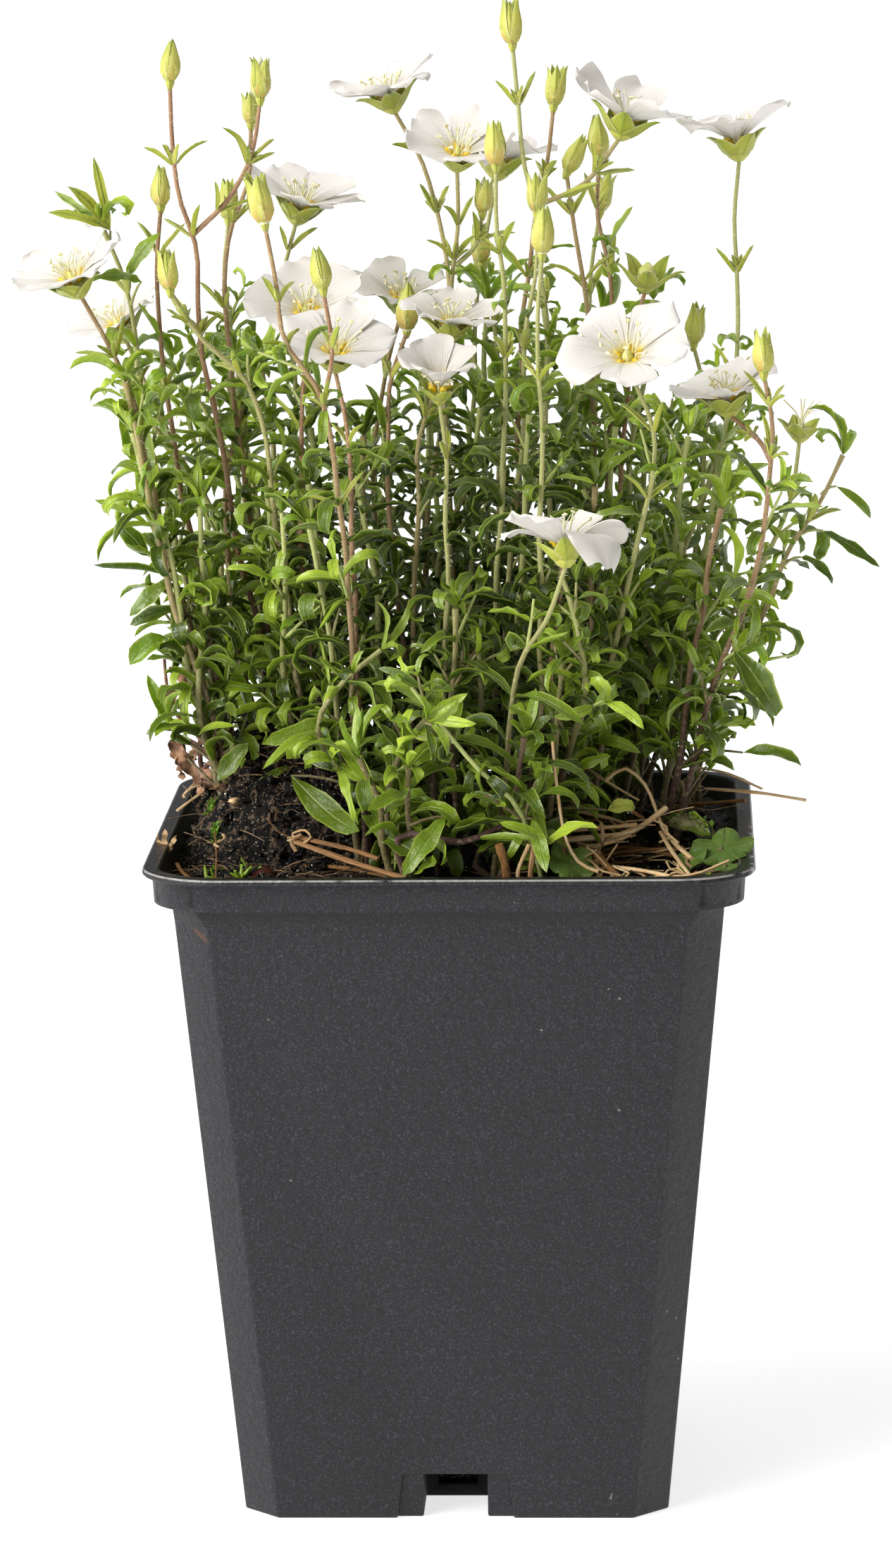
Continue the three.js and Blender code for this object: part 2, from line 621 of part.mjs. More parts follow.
const PETAL_ROD = { radius: 1.35, sides: [-2.6, 0, 2.6], shares: [0.4, 0.95] };

function petalRods(size, rise, seat, axis, turn) {
  const reach = FLOWER.radius;
  const rods = [];
  for (let i = 0; i < FLOWER.petals; i += 1) {
    for (const side of PETAL_ROD.sides) {
      const rod = PETAL_ROD.shares.map((share) => {
        const place = new THREE.Vector3(reach * share, side * (share + 0.15), bowlHeight(share, reach, rise));
        return place.multiplyScalar(size);
      });
      const flat = new THREE.BufferGeometry().setFromPoints(rod).rotateZ(radians(360 / FLOWER.petals) * i);
      const world = placed(flat, seat, axis, turn).attributes.position;
      rods.push([0, 1].map((k) => new THREE.Vector3().fromBufferAttribute(world, k)));
    }
  }
  return rods;
}

// A vector made of shares of two others

const blend = (a, shareA, b, shareB) => a.clone().multiplyScalar(shareA).addScaledVector(b, shareB);

// Leaves: a row of three-cornered rings from the root to the tip

function leafRings({ root, stemDirection, outward, length, width, elevation, curl, roll, outline }) {
  const side = stemDirection.clone().cross(outward);
  const centres = [root.clone()];
  const rings = [];
  const place = root.clone();
  let before = 0;
  for (const [along, share] of [...outline, [1, 0]]) {
    const middle = radians(elevation - curl * ((along + before) / 2));
    const travel = blend(outward, Math.cos(middle), stemDirection, Math.sin(middle));
    place.addScaledVector(travel, (along - before) * length);
    before = along;
    centres.push(place.clone());
    if (share === 0) {
      rings.push([place.clone()]);
      break;
    }
    const slope = radians(elevation - curl * along);
    const normal = blend(outward, -Math.sin(slope), stemDirection, Math.cos(slope));
    const lean = radians(roll * along);
    const edge = blend(side, Math.cos(lean), normal, Math.sin(lean));
    const over = blend(normal, Math.cos(lean), side, -Math.sin(lean));
    const half = (share * width) / 2;
    rings.push([
      place.clone().addScaledVector(edge, half),
      place.clone().addScaledVector(edge, -half),
      place.clone().addScaledVector(over, -LEAF.keel),
    ]);
  }
  return { rings, centres };
}

// A leaf is kept where it clears every other piece, after a few turns aside or a little shorter

const LEAF_TRIES = [[0, 1], [22, 1], [-22, 1], [44, 1], [-44, 1], [0, 0.75], [33, 0.75], [-33, 0.75]];
const ROOM = { betweenLeaves: 0.18, overSoil: 0.6, overRim: 2, rimReach: 4, farApart: 45, rootShare: 0.75 };

function rodsOf(centres, width) {
  return centres.slice(1).map((to, i) => {
    const radius = (width / 2) * (i === 0 ? ROOM.rootShare : 1);
    return { from: centres[i], to, radius };
  });
}

function leafFits(stem, rods) {
  for (const [step, rod] of rods.entries()) {
    const { x, y, z } = rod.to;
    const overRim = Math.max(Math.abs(x), Math.abs(y)) > POT.bodyTopHalf - ROOM.rimReach;
    if (overRim && z < POT.height + ROOM.overRim) return false;
    if (!overRim && z < soilHeight(x, y) + rod.radius + ROOM.overSoil) return false;
    for (const other of taken) {
      if (other.part === stem && other.kind === 'stem') continue;
      if (other.part === stem && step === 0 && other.root) continue;
      if (Math.abs(other.from.z - z) > ROOM.farApart) continue;
      if (gapBetween(rod, other) < ROOM.betweenLeaves) return false;
    }
  }
  return true;
}

// How far along a curve, by length, each of the points that it runs through lies

function alongPoints(curve) {
  const finer = 20;
  const lengths = curve.getLengths(finer * (curve.points.length - 1));
  return curve.points.map((_, i) => lengths[i * finer] / lengths.at(-1));
}

// A shoot is a square bar along its curve, with a short stretch at each node. A leaf grows out of
// one half of a face there, so the shoot and its leaves are one skin.

function shoot(owner, stem, nodes, pointed) {
  const curve = new THREE.CatmullRomCurve3(stem.points);
  const short = NODE_STRETCH / curve.getLength();
  const pairs = nodes.flatMap(({ along }) => [along - short, along]);
  const bends = stem.shape ? alongPoints(curve) : [0, 1];
  const stations = [...new Set([...bends, ...pairs])].sort((a, b) => a - b);
  const points = [];
  const faces = [];
  const ringAt = (along, radius) => {
    const centre = curve.getPointAt(along);
    const direction = curve.getTangentAt(along);
    const across = new THREE.Vector3(Math.cos(stem.turn), Math.sin(stem.turn), 0);
    across.addScaledVector(direction, -across.dot(direction)).normalize();
    const third = direction.clone().cross(across);
    for (let i = 0; i < 4; i += 1) {
      const angle = (i - 0.5) * (Math.PI / 2);
      points.push(centre.clone()
        .addScaledVector(across, radius * Math.cos(angle))
        .addScaledVector(third, radius * Math.sin(angle)));
    }
    return { direction, across, third };
  };
  const frames = stations.map((along, k) => {
    const atEnd = pointed && k === stations.length - 1;
    return ringAt(along, stem.radius * (atEnd ? 0.5 : 1));
  });
  const rings = [];
  for (let k = 0; k + 1 < stations.length; k += 1) {
    const node = nodes.find(({ along }) => along === stations[k + 1]);
    for (let i = 0; i < 4; i += 1) {
      const j = (i + 1) % 4;
      const [a, b, c, d] = [k * 4 + i, k * 4 + j, k * 4 + 4 + j, k * 4 + 4 + i];
      faces.push(a, b, c);
      const leaf = node?.leaves.find(({ face }) => face === i);
      const half = [points[c], points[d], points[a]];
      const grown = leaf && growLeaf(owner, stem, leaf, frames[k + 1], half, i);
      if (grown) rings.push({ root: [c, d, a], rings: grown });
      else faces.push(a, c, d);
    }
  }
  for (const leaf of rings) {
    let before = leaf.root;
    for (const ring of leaf.rings) {
      const here = ring.map((place) => points.push(place) - 1);
      for (let i = 0; i < 3; i += 1) {
        const j = (i + 1) % 3;
        if (here.length === 1) faces.push(before[i], before[j], here[0]);
        else faces.push(before[i], before[j], here[j], before[i], here[j], here[i]);
      }
      before = here;
    }
  }
  faces.push(0, 2, 1, 0, 3, 2);
  const top = (stations.length - 1) * 4;
  faces.push(top, top + 1, top + 2, top, top + 2, top + 3);
  const geometry = new THREE.BufferGeometry().setFromPoints(points);
  geometry.setIndex(faces);
  return solid(geometry);
}

function growLeaf(owner, stem, leaf, frame, corners, face) {
  const root = corners.reduce((sum, corner) => sum.add(corner), new THREE.Vector3()).divideScalar(3);
  for (const [aside, share] of LEAF_TRIES) {
    const angle = face * (Math.PI / 2) + radians(leaf.aside + aside);
    const outward = blend(frame.across, Math.cos(angle), frame.third, Math.sin(angle));
    const length = leaf.length * share;
    const { rings, centres } = leafRings({ ...leaf, length, root, stemDirection: frame.direction, outward });
    const rods = rodsOf(centres, leaf.width);
    if (!leafFits(stem, rods)) continue;
    rods.forEach((rod, step) => taken.push({ ...rod, owner, part: stem, kind: 'leaf', root: step === 0 }));
    return rings;
  }
  return null;
}

// Opposite pairs of leaves, each pair turned a quarter from the one below

function leafPairs(places, random) {
  return places.map((along, k) => {
    const atTip = along > 0.95;
    const size = (atTip ? LEAF.tipSize : 1.14 - 0.3 * along) * (0.88 + 0.3 * random());
    const leaves = [0, 2].map((opposite) => ({
      face: (k % 2) + opposite,
      aside: (random() - 0.5) * LEAF.asideJitter,
      length: LEAF.length * size,
      width: LEAF.width * (0.85 + 0.15 * size),
      elevation: atTip ? LEAF.tipElevation : LEAF.elevation + LEAF.elevationJitter * (random() - 0.5),
      curl: atTip ? LEAF.tipCurl : LEAF.curl * (0.5 + random()),
      roll: LEAF.rollJitter * (random() - 0.5),
      outline: atTip || random() < SHORT_SHARE ? SHORT_LEAF : LONG_LEAF,
    }));
    return { along, leaves };
  });
}

// Building the plant: stems first, so that every leaf knows what it must clear

const potted = new THREE.Group();

function add(name, shape, colour, roughness) {
  const geometry = shape.isBufferGeometry ? shape : geometryOf(shape);
  const look = { color: colour, roughness, metalness: 0, flatShading: true };
  const mesh = new THREE.Mesh(geometry, new THREE.MeshStandardMaterial(look));
  mesh.name = name;
  potted.add(mesh);
  return mesh;
}

const clumps = CLUMPS.map((clump, index) => {
  const random = draws(1000 + index * 97);
  const stems = [];
  for (let number = 0; number < clump.leafy; number += 1) stems.push(leafyStem(clump, number, random));
  stems.push(...clump.stalks.map((shape) => stalk(clump, shape, random)));
  const radius = arrangeOnCrown(clump, stems);
  for (const stem of stems) {
    const curve = new THREE.CatmullRomCurve3(stem.points);
    claim(index, curve.getSpacedPoints(8), stem.radius, 'stem', stem);
  }
  return { clump, index, random, stems, radius };
});

const flowers = [];
const END_ROOM = {
  bud: { length: BUD.length, radius: 1.7 },
  flower: { length: 3, radius: 2.4 },
  spent: { length: 3, radius: 2.4 },
};

for (const { index, stems } of clumps) {
  for (const { points, shape } of stems) {
    if (!shape) continue;
    const seat = points.at(-1);
    const axis = facing(shape.lean);
    const size = shape.size ?? 1;
    if (shape.end === 'flower') {
      const number = flowers.length + 1;
      const rise = shape.rise ?? FLOWER.rise;
      flowers.push({ number, seat, axis, size, rise, turn: shape.turn });
      const owner = `flower ${number}`;
      const rods = petalRods(size, rise, seat, axis, shape.turn);
      for (const rod of rods) claim(owner, rod, PETAL_ROD.radius * size, 'petal');
    }
    const room = END_ROOM[shape.end];
    if (!room) continue;
    const tip = seat.clone().addScaledVector(axis, room.length * size);
    claim(index, [seat, tip], room.radius * size, 'bud');
  }
}

// The dry and stray pieces

function sticks(list, radius) {
  return joined(list.map((ends) => solid(bar(ends.map(point), radius, STRAW.sides, 1))));
}

const strays = {
  straw_bundle: { list: STRAW_BUNDLE, radius: STRAW.radius },
  straw_left: { list: STRAW_LEFT, radius: STRAW.radius },
  straw_over_rim: { list: STRAW_OVER_RIM, radius: STRAW.thin },
};

let soil = soilBlock();

for (const [name, { list, radius }] of Object.entries(strays)) {
  for (const ends of list) claim(name, ends.map(point), radius, 'straw');
  soil = soil.subtract(sticks(list, radius + CLEARANCE));
  add(name, sticks(list, radius), COLOUR.straw, 0.8);
}

const hanging = HANGING_STRAW.map(point);
claim('straw_hanging', hanging, STRAW.thin, 'straw');
const hangingStraw = (radius) => solid(bar(hanging, radius, STRAW.sides, STRAW.steps));
add('straw_hanging', hangingStraw(STRAW.thin), COLOUR.paleStraw, 0.8);
soil = soil.subtract(hangingStraw(STRAW.thin + CLEARANCE));

function deadLeaves(thicker) {
  const root = point(DEAD_LEAVES[0].root);
  const top = root.clone().setZ(root.z + DEAD_STUB.height);
  const stub = solid(bar([root, top], DEAD_STUB.radius + thicker, DEAD_STUB.sides, 1));
  const blades = DEAD_LEAVES.map((leaf) => {
    const toward = radians(leaf.toward);
    const outward = new THREE.Vector3(Math.cos(toward), Math.sin(toward), 0);
    const start = point(leaf.root).setZ(leaf.root[2] + DEAD_STUB.leavesAt);
    const blade = { ...leaf, root: start, stemDirection: UP, outward, roll: 30, outline: LONG_LEAF };
    const { rings, centres } = leafRings(blade);
    if (!thicker) claim('dead_leaves', centres, leaf.width / 2, 'straw');
    const side = UP.clone().cross(outward).multiplyScalar(DEAD_STUB.halfRoot);
    const under = start.clone().setZ(start.z - LEAF.keel);
    const first = [start.clone().add(side), start.clone().sub(side), under];
    return solid(loft([first, ...rings]));
  });
  return thicker ? stub : joined([stub, ...blades]);
}

add('dead_leaves', deadLeaves(0), COLOUR.deadLeaf, 0.9);
soil = soil.subtract(deadLeaves(CLEARANCE));

function weed(thicker) {
  const root = point(WEED.root);
  const top = root.clone().add(new THREE.Vector3(WEED.toward[0], WEED.toward[1], WEED.height));
  const stalkBar = solid(bar([root, top], WEED.stalkRadius + thicker, 5, 1));
  if (thicker) return stalkBar;
  const rimPoints = WEED.lobes * 4;
  const rim = Array.from({ length: rimPoints }, (_, i) => {
    const angle = (i / rimPoints) * Math.PI * 2;
    const reach = WEED.radius * (1 - WEED.scallop + WEED.scallop * Math.cos(angle * WEED.lobes));
    return new THREE.Vector2(reach * Math.cos(angle), reach * WEED.narrow * Math.sin(angle));
  });
  const outline = new THREE.Shape(rim);
  const blade = new THREE.ExtrudeGeometry(outline, { depth: WEED.thickness, bevelEnabled: false });
  blade.rotateX(WEED.tilt[0]).rotateY(WEED.tilt[1]);
  blade.translate(top.x + WEED.beyond, top.y, top.z - 0.3);
  const left = new THREE.Vector3(top.x - 2, top.y, top.z);
  const right = new THREE.Vector3(top.x + 7, top.y, top.z);
  claim('weed_leaf', [left, right], 4.5, 'straw');
  return stalkBar.add(solid(blade));
}

add('weed_leaf', weed(0), COLOUR.weed, 0.6);
soil = soil.subtract(weed(CLEARANCE));

// The green clumps, one node each, with their crowns standing in plain holes in the soil

const crownBar = (crown, radius, extra) => {
  const low = crownPoint(crown, -CROWN.depth - extra);
  const high = crownPoint(crown, extra ? CROWN.depth : CROWN.above);
  return solid(bar([low, high], radius + extra, CROWN.sides, 1));
};

for (const { clump, index, random, stems, radius } of clumps) {
  const pieces = [crownBar(clump.crown, radius, 0)];
  for (const stem of stems) {
    if (!stem.shape) {
      pieces.push(shoot(index, stem, leafPairs(LEAFY.pairs, random), true));
      continue;
    }
    const seat = stem.points.at(-1);
    const { end, lean, size = 1, fork } = stem.shape;
    const axis = facing(lean);
    const places = fork ? [] : [...STALK.pairs];
    if (end === 'tuft') places.push(...STALK.tuftPairs);
    pieces.push(shoot(index, stem, leafPairs(places, random), end === 'tuft'));
    if (end === 'bud') pieces.push(solid(placed(bud(size), seat, axis)));
    if (end === 'flower') pieces.push(solid(placed(calyx(size, 1), seat, axis, stem.shape.turn)));
    if (end === 'spent') pieces.push(solid(placed(calyx(size, CALYX.spentSpread), seat, axis)));
  }
  const whole = joined(pieces);
  add(`leafy_clump_${String(index + 1).padStart(2, '0')}`, whole, COLOUR.green, 0.6);
  soil = soil.subtract(crownBar(clump.crown, radius, CLEARANCE));
}

// The white flowers, each seated in its calyx

for (const { number, seat, axis, size, rise, turn } of flowers) {
  const geometry = geometryOf(solid(corolla(size, rise)));
  const mesh = add(`flower_${String(number).padStart(2, '0')}`, geometry, COLOUR.petal, 0.5);
  const tilt = new THREE.Quaternion().setFromUnitVectors(UP, axis);
  mesh.quaternion.copy(tilt.multiply(new THREE.Quaternion().setFromAxisAngle(UP, radians(turn))));
  mesh.position.copy(seat);
}

add('soil', soil, COLOUR.soil, 0.95);
add('pot', pot(), COLOUR.pot, 0.55);

export default potted;
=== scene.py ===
# %% [markdown]
# # A mountain sandwort in a square nursery pot
# This lesson dresses the plain solids of a potted rock-garden plant: wiry stems with narrow leaves
# in pairs, white flowers of five petals, pointed buds, dark soil and a black plastic pot. The solids
# say where everything stands. Here each of them is replaced by a finer piece in the same place.

# %% Load the solids and note the room that they take
import functools
import json
import math
import random

import bmesh
import bpy
import numpy as np
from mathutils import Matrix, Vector, noise

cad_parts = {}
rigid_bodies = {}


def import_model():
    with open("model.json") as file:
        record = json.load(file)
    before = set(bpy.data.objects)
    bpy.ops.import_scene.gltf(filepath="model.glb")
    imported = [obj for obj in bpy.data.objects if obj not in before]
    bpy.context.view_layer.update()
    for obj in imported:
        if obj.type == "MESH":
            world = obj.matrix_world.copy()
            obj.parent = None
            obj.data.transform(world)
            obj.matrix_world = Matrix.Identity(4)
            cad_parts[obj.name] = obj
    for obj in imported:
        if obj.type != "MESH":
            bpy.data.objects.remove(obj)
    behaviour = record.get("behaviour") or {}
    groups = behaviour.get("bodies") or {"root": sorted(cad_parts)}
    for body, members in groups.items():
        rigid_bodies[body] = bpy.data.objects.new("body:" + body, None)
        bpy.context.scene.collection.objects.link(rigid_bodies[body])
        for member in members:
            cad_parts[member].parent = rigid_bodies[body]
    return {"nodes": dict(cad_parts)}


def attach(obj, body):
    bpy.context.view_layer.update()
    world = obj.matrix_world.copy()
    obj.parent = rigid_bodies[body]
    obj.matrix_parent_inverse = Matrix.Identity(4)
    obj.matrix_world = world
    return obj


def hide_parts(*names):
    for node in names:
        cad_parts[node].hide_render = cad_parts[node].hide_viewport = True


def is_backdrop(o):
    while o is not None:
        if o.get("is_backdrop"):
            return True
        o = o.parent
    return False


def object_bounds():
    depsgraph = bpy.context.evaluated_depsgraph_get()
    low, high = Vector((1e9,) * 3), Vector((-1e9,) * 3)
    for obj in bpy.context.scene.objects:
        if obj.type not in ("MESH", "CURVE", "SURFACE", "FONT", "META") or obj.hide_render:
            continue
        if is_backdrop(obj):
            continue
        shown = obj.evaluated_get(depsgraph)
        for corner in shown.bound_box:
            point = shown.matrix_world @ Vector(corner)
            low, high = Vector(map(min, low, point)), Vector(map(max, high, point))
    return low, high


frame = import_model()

solid_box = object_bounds()
MM = 0.001
UP = np.array([0.0, 0.0, 1.0])
print("solids:", len(frame["nodes"]), "box in metres:", [tuple(corner) for corner in solid_box])

# %% [markdown]
# The camera comes first, so that each piece can be looked at as soon as it is made. The picture was
# taken from a little above the rim with a long lens, which keeps the pot's sides nearly straight.
# The camera is aimed at the middle of the plant and pot, then rolled by less than a degree.

# %% Camera
PICTURE = (1266, 2225)
VIEW = {"azimuth": 2.2, "elevation": 10.24, "roll": -0.62, "distance": 0.939, "aim": (-0.0015, 0, 0.1059)}
FOCAL_PIXELS = 8788
SENSOR_HEIGHT = 36


def aim_camera():
    azimuth, elevation = math.radians(VIEW["azimuth"]), math.radians(VIEW["elevation"])
    back = Vector((math.sin(azimuth) * math.cos(elevation),
                   -math.cos(azimuth) * math.cos(elevation), math.sin(elevation)))
    lens = bpy.data.cameras.new("camera")
    lens.sensor_fit = "VERTICAL"
    lens.sensor_height = SENSOR_HEIGHT
    lens.lens = FOCAL_PIXELS / PICTURE[1] * SENSOR_HEIGHT
    camera = bpy.data.objects.new("camera", lens)
    camera.location = Vector(VIEW["aim"]) + back * VIEW["distance"]
    turn = back.to_track_quat("Z", "Y").to_euler()
    camera.rotation_euler = turn
    camera.rotation_euler.rotate_axis("Z", math.radians(VIEW["roll"]))
    bpy.context.scene.collection.objects.link(camera)
    bpy.context.scene.camera = camera
    return camera


camera = aim_camera()
print("camera at", tuple(round(x, 3) for x in camera.location), "lens", round(camera.data.lens, 1), "mm")

# %% [markdown]
# A finish is a material whose colour and roughness change over the surface. Its patterns are sums of
# masks, and a sum is easier to read as a line of text than as a tree of nodes, so a small class lets
# an output of a node be added, subtracted and multiplied like a number.

# %% Shader sums as expressions
class Output:
    """An output of a finish's nodes, on which sums can be written."""

    def __init__(self, finish, socket):
        self.finish = finish
        self.socket = socket

    def sum(self, kind, *terms):
        return self.finish.node("Math", {"operation": kind}, dict(enumerate(terms)))

    def __add__(self, other):
        return self.sum("ADD", self, other)

    def __sub__(self, other):
        return self.sum("SUBTRACT", self, other)

    def __rsub__(self, other):
        return self.sum("SUBTRACT", other, self)

    def __mul__(self, other):
        return self.sum("MULTIPLY", self, other)

    def __abs__(self):
        return self.sum("ABSOLUTE", self)

    __radd__ = __add__
    __rmul__ = __mul__

    def rising(self, low, high):
        """0 below low, 1 above high and smooth between them."""
        settings = {"interpolation_type": "SMOOTHSTEP"}
        return self.finish.node("MapRange", settings, {"Value": self, "From Min": low, "From Max": high})

    def falling(self, low, high):
        """1 below low, 0 above high and smooth between them."""
        return 1 - self.rising(low, high)


print("sums on an output:", [name for name in vars(Output) if "__" not in name])

# %% [markdown]
# A finish holds the nodes of one material. It can make a node, noise, a mix of two colours and
# layers of colour, and at the end it joins the sums to the inputs of its shader.

# %% The class of finishes
class Finish:
    """One material: its nodes, and the shader that they feed."""

    def __init__(self, name, **constants):
        self.material = bpy.data.materials.new(name)
        self.material.use_nodes = True
        self.tree = self.material.node_tree
        self.shader = self.tree.nodes["Principled BSDF"]
        for key, value in constants.items():
            self.shader.inputs[key.replace("_", " ")].default_value = value
        self.place = self.node("TexCoord", output="Object")

    def node(self, kind, settings=None, inputs=None, output=0):
        made = self.tree.nodes.new("ShaderNode" + kind)
        for key, value in (settings or {}).items():
            setattr(made, key, value)
        for key, value in (inputs or {}).items():
            self.feed(made, key, value)
        return Output(self, made.outputs[output])

    def feed(self, made, key, value):
        if isinstance(value, Output):
            self.tree.links.new(value.socket, made.inputs[key])
        else:
            made.inputs[key].default_value = value

    def noise(self, scale, detail=3, vector=None):
        inputs = {"Vector": vector or self.place, "Scale": scale, "Detail": detail}
        return self.node("TexNoise", {}, inputs)

    def mix(self, share, first, second):
        """The colour first where share is 0, and second where it is 1."""
        return self.node("Mix", {"data_type": "RGBA"}, {0: share, 6: first, 7: second}, output=2)

    def layers(self, colour, *layers):
        """Lays pairs of a share and a screen colour over a colour, one after another."""
        for share, code in layers:
            colour = self.mix(share, colour, shade(code))
        return colour

    def attribute(self, name):
        return self.node("Attribute", {"attribute_name": name}, output="Fac")

    def axes(self, vector=None):
        """The three numbers of a place, each on its own."""
        apart = self.node("SeparateXYZ", {}, {0: vector or self.place})
        return [Output(self, socket) for socket in apart.socket.node.outputs]

    def blade(self):
        """Across the blade from -1 to 1, and along it from 0 to 1, out of its own map."""
        across, along, _ = self.axes(self.node("UVMap", {"uv_map": "blade"}))
        return across * 2 - 1, along

    def wear(self, colour=None, roughness=None, height=None, depth=0.0002):
        """Joins the sums to the shader."""
        if colour is not None:
            self.feed(self.shader, "Base Color", colour)
        if roughness is not None:
            self.feed(self.shader, "Roughness", roughness)
        if height is not None:
            bump = self.node("Bump", {}, {"Height": height, "Distance": depth})
            self.feed(self.shader, "Normal", bump)
        return self.material


def shade(code):
    """A screen colour such as 0x4f7f2a, as the four numbers that a socket takes."""
    parts = [(code >> shift & 255) / 255 for shift in (16, 8, 0)]
    linear = [part / 12.92 if part < 0.04045 else ((part + 0.055) / 1.055) ** 2.4 for part in parts]
    return (*linear, 1)


print("shade(0x808080) is", [round(x, 3) for x in shade(0x808080)])

# %% [markdown]
# The plant's own finishes. A sandwort leaf is a bright to dark green with a paler, downy edge, its
# stems run from green to a reddish brown, and a petal is white with faint veins and a yellow throat.
# Each grown piece carries a map (across, along) and two numbers at its points, tint and young, so
# one finish can tell an old leaf from a new one and an edge from a midrib.

# %% Finishes of the living parts
def leaf_finish():
    leaf = Finish("leaf_green", Subsurface_Weight=0.2, Subsurface_Scale=0.001, Specular_IOR_Level=0.55,
                  Subsurface_Radius=(0.6, 1.0, 0.1), Sheen_Weight=0.06, Sheen_Roughness=0.4)
    across, along = leaf.blade()
    tint, young = leaf.attribute("tint"), leaf.attribute("young")
    old = leaf.mix(tint, shade(0x2a3d08), shade(0x849e22))
    fresh = leaf.mix(tint, shade(0x6e9016), shade(0xaec43a))
    blotch = leaf.noise(420).rising(0.35, 0.7)
    # painted shade: leaves near the plant's middle and below its top get a darker green, where little light
    # reaches
    flat_place = leaf.node("VectorMath", {"operation": "MULTIPLY"}, {0: leaf.place, 1: (1, 1, 0)})
    from_middle = leaf.node("VectorMath", {"operation": "LENGTH"}, {0: flat_place}, output="Value")
    painted_inner_shade = from_middle.falling(0.016, 0.036) * leaf.axes()[2].falling(0.15, 0.18)
    edge = abs(across).rising(0.8, 1.0)
    midrib = abs(across).falling(0.02, 0.14)
    tip = along.rising(0.93, 1.0) * tint.rising(0.75, 0.95)
    colour = leaf.layers(leaf.mix(young.rising(0.25, 1.0), old, fresh), (blotch * 0.35, 0x54680e),
                         (painted_inner_shade * 0.72, 0x1a2c06), (edge * 0.5, 0xb4c650), (midrib * 0.25, 0x9bb044),
                         (tip * 0.7, 0x8a6a2c))
    height = leaf.noise(1600, 4) + 1.6 * leaf.noise(520, 2) - 0.8 * midrib
    return leaf.wear(colour, 0.18 + 0.24 * leaf.noise(900), height, 0.00014)


def stem_finish():
    stem = Finish("stem_downy", Subsurface_Weight=0.05, Subsurface_Scale=0.001,
                  Subsurface_Radius=(1.0, 0.8, 0.4), Sheen_Weight=0.12)
    tint, young = stem.attribute("tint"), stem.attribute("young")
    streak = stem.noise(260, 4)
    green = stem.mix(young, shade(0xa6a068), shade(0xb2bb6c))
    brown = stem.mix(streak, shade(0xb6946c), shade(0x84543c))
    colour = stem.mix(tint.rising(0.5, 0.85), green, brown)
    aged = stem.mix(tint.rising(0.25, 0.55), shade(0x5e4c2a), shade(0x40201e))
    shaded = stem.axes()[2].falling(0.106, 0.150) * young.falling(0.85, 0.95)
    colour = stem.mix(shaded * 0.9, colour, aged)
    colour = stem.layers(colour, (stem.noise(1400).rising(0.52, 0.75) * 0.35, 0xd3c79a))
    return stem.wear(colour, 0.5 + 0.2 * streak, stem.noise(2400), 0.00015)


def sepal_finish():
    sepal = Finish("sepal_green", Subsurface_Weight=0.15, Subsurface_Scale=0.0015,
                   Subsurface_Radius=(0.8, 1.0, 0.3), Sheen_Weight=0.15)
    across, along = sepal.blade()
    tint = sepal.attribute("tint")
    flush = tint.rising(0.78, 0.95) * along.falling(0.15, 0.6)
    rib = abs(across).falling(0.03, 0.3)
    edge = abs(across).rising(0.8, 1.0)
    colour = sepal.layers(sepal.mix(tint, shade(0x9aa226), shade(0xd4d064)), (flush * 0.55, 0xd69a4c),
                          (along.rising(0.5, 1.0) * 0.5, 0x7f9a2c), (rib * 0.25, 0x86a02c),
                          (edge * 0.4, 0xe4e4a0))
    return sepal.wear(colour, 0.42 + 0.2 * sepal.noise(800), sepal.noise(1800) + rib, 0.00015)


def petal_finish():
    petal = Finish("petal_white", Roughness=0.5, Subsurface_Weight=0.25, Subsurface_Scale=0.002,
                   Subsurface_Radius=(1.0, 0.95, 0.88), Sheen_Weight=0.2)
    across, along = petal.blade()
    upper_side = petal.attribute("young")
    fan = petal.node("CombineXYZ", {}, {0: across * 9, 1: along * 0.8, 2: petal.attribute("tint") * 7})
    veins = petal.noise(1.0, 2, vector=fan).rising(0.5, 0.66) * along.falling(0.15, 0.85)
    throat = along.falling(0.06, 0.2) * upper_side
    glow = along.falling(0.1, 0.4) * upper_side
    colour = petal.layers(petal.mix(veins * 0.30, shade(0xe5ded6), shade(0xb6aea0)),
                          (throat * 0.9, 0xf2cf2c), (glow * 0.16, 0xf5e780))
    return petal.wear(colour, 0.42 + 0.15 * petal.noise(500), veins + 0.3 * petal.noise(900), 0.0001)


def plain_finish(name, dark, light, roughness, scale=900):
    """A soft mottle of two colours, for small parts."""
    plain = Finish(name)
    mottle = plain.noise(scale)
    colour = plain.mix(mottle.rising(0.3, 0.7), shade(dark), shade(light))
    return plain.wear(colour, roughness, mottle, 0.0001)


CROWN_WOOD = plain_finish("crown_wood", 0x1f1611, 0x4a3426, 0.8, 400)
LEAF, STEM, SEPAL, PETAL = leaf_finish(), stem_finish(), sepal_finish(), petal_finish()
CORE = plain_finish("bud_white", 0xd9dba0, 0xf2f0dc, 0.5)
NECTAR = plain_finish("throat_yellow", 0xecbc18, 0xfadc3c, 0.35)
OVARY = plain_finish("ovary_green", 0xcfd070, 0xecea9c, 0.45)
ANTHER = plain_finish("anther_cream", 0xe6dba2, 0xf6f0cf, 0.6)
HAIR = plain_finish("down_white", 0xdfe0cc, 0xf4f3e8, 0.7)
print("finishes so far:", [material.name for material in bpy.data.materials])

# %% [markdown]
# Nearly everything on the plant is a spindle: a leaf is a flat one, a stem a long one, a bud a fat
# one. Blender's sphere operator gives a closed spindle of rings and sides, so one small template is
# made for each count of rings, and copies of it are bent along a line. That is quicker than bending
# thousands of objects with modifiers, and every copy stays closed.

# %% Templates and the collector of grown copies
class Template:
    """A small closed mesh, with each point's place in it as numbers."""

    def __init__(self, shape):
        shape.verts.ensure_lookup_table()
        self.points = np.array([vert.co for vert in shape.verts])
        self.faces = [[vert.index for vert in face.verts] for face in shape.faces]
        shape.free()


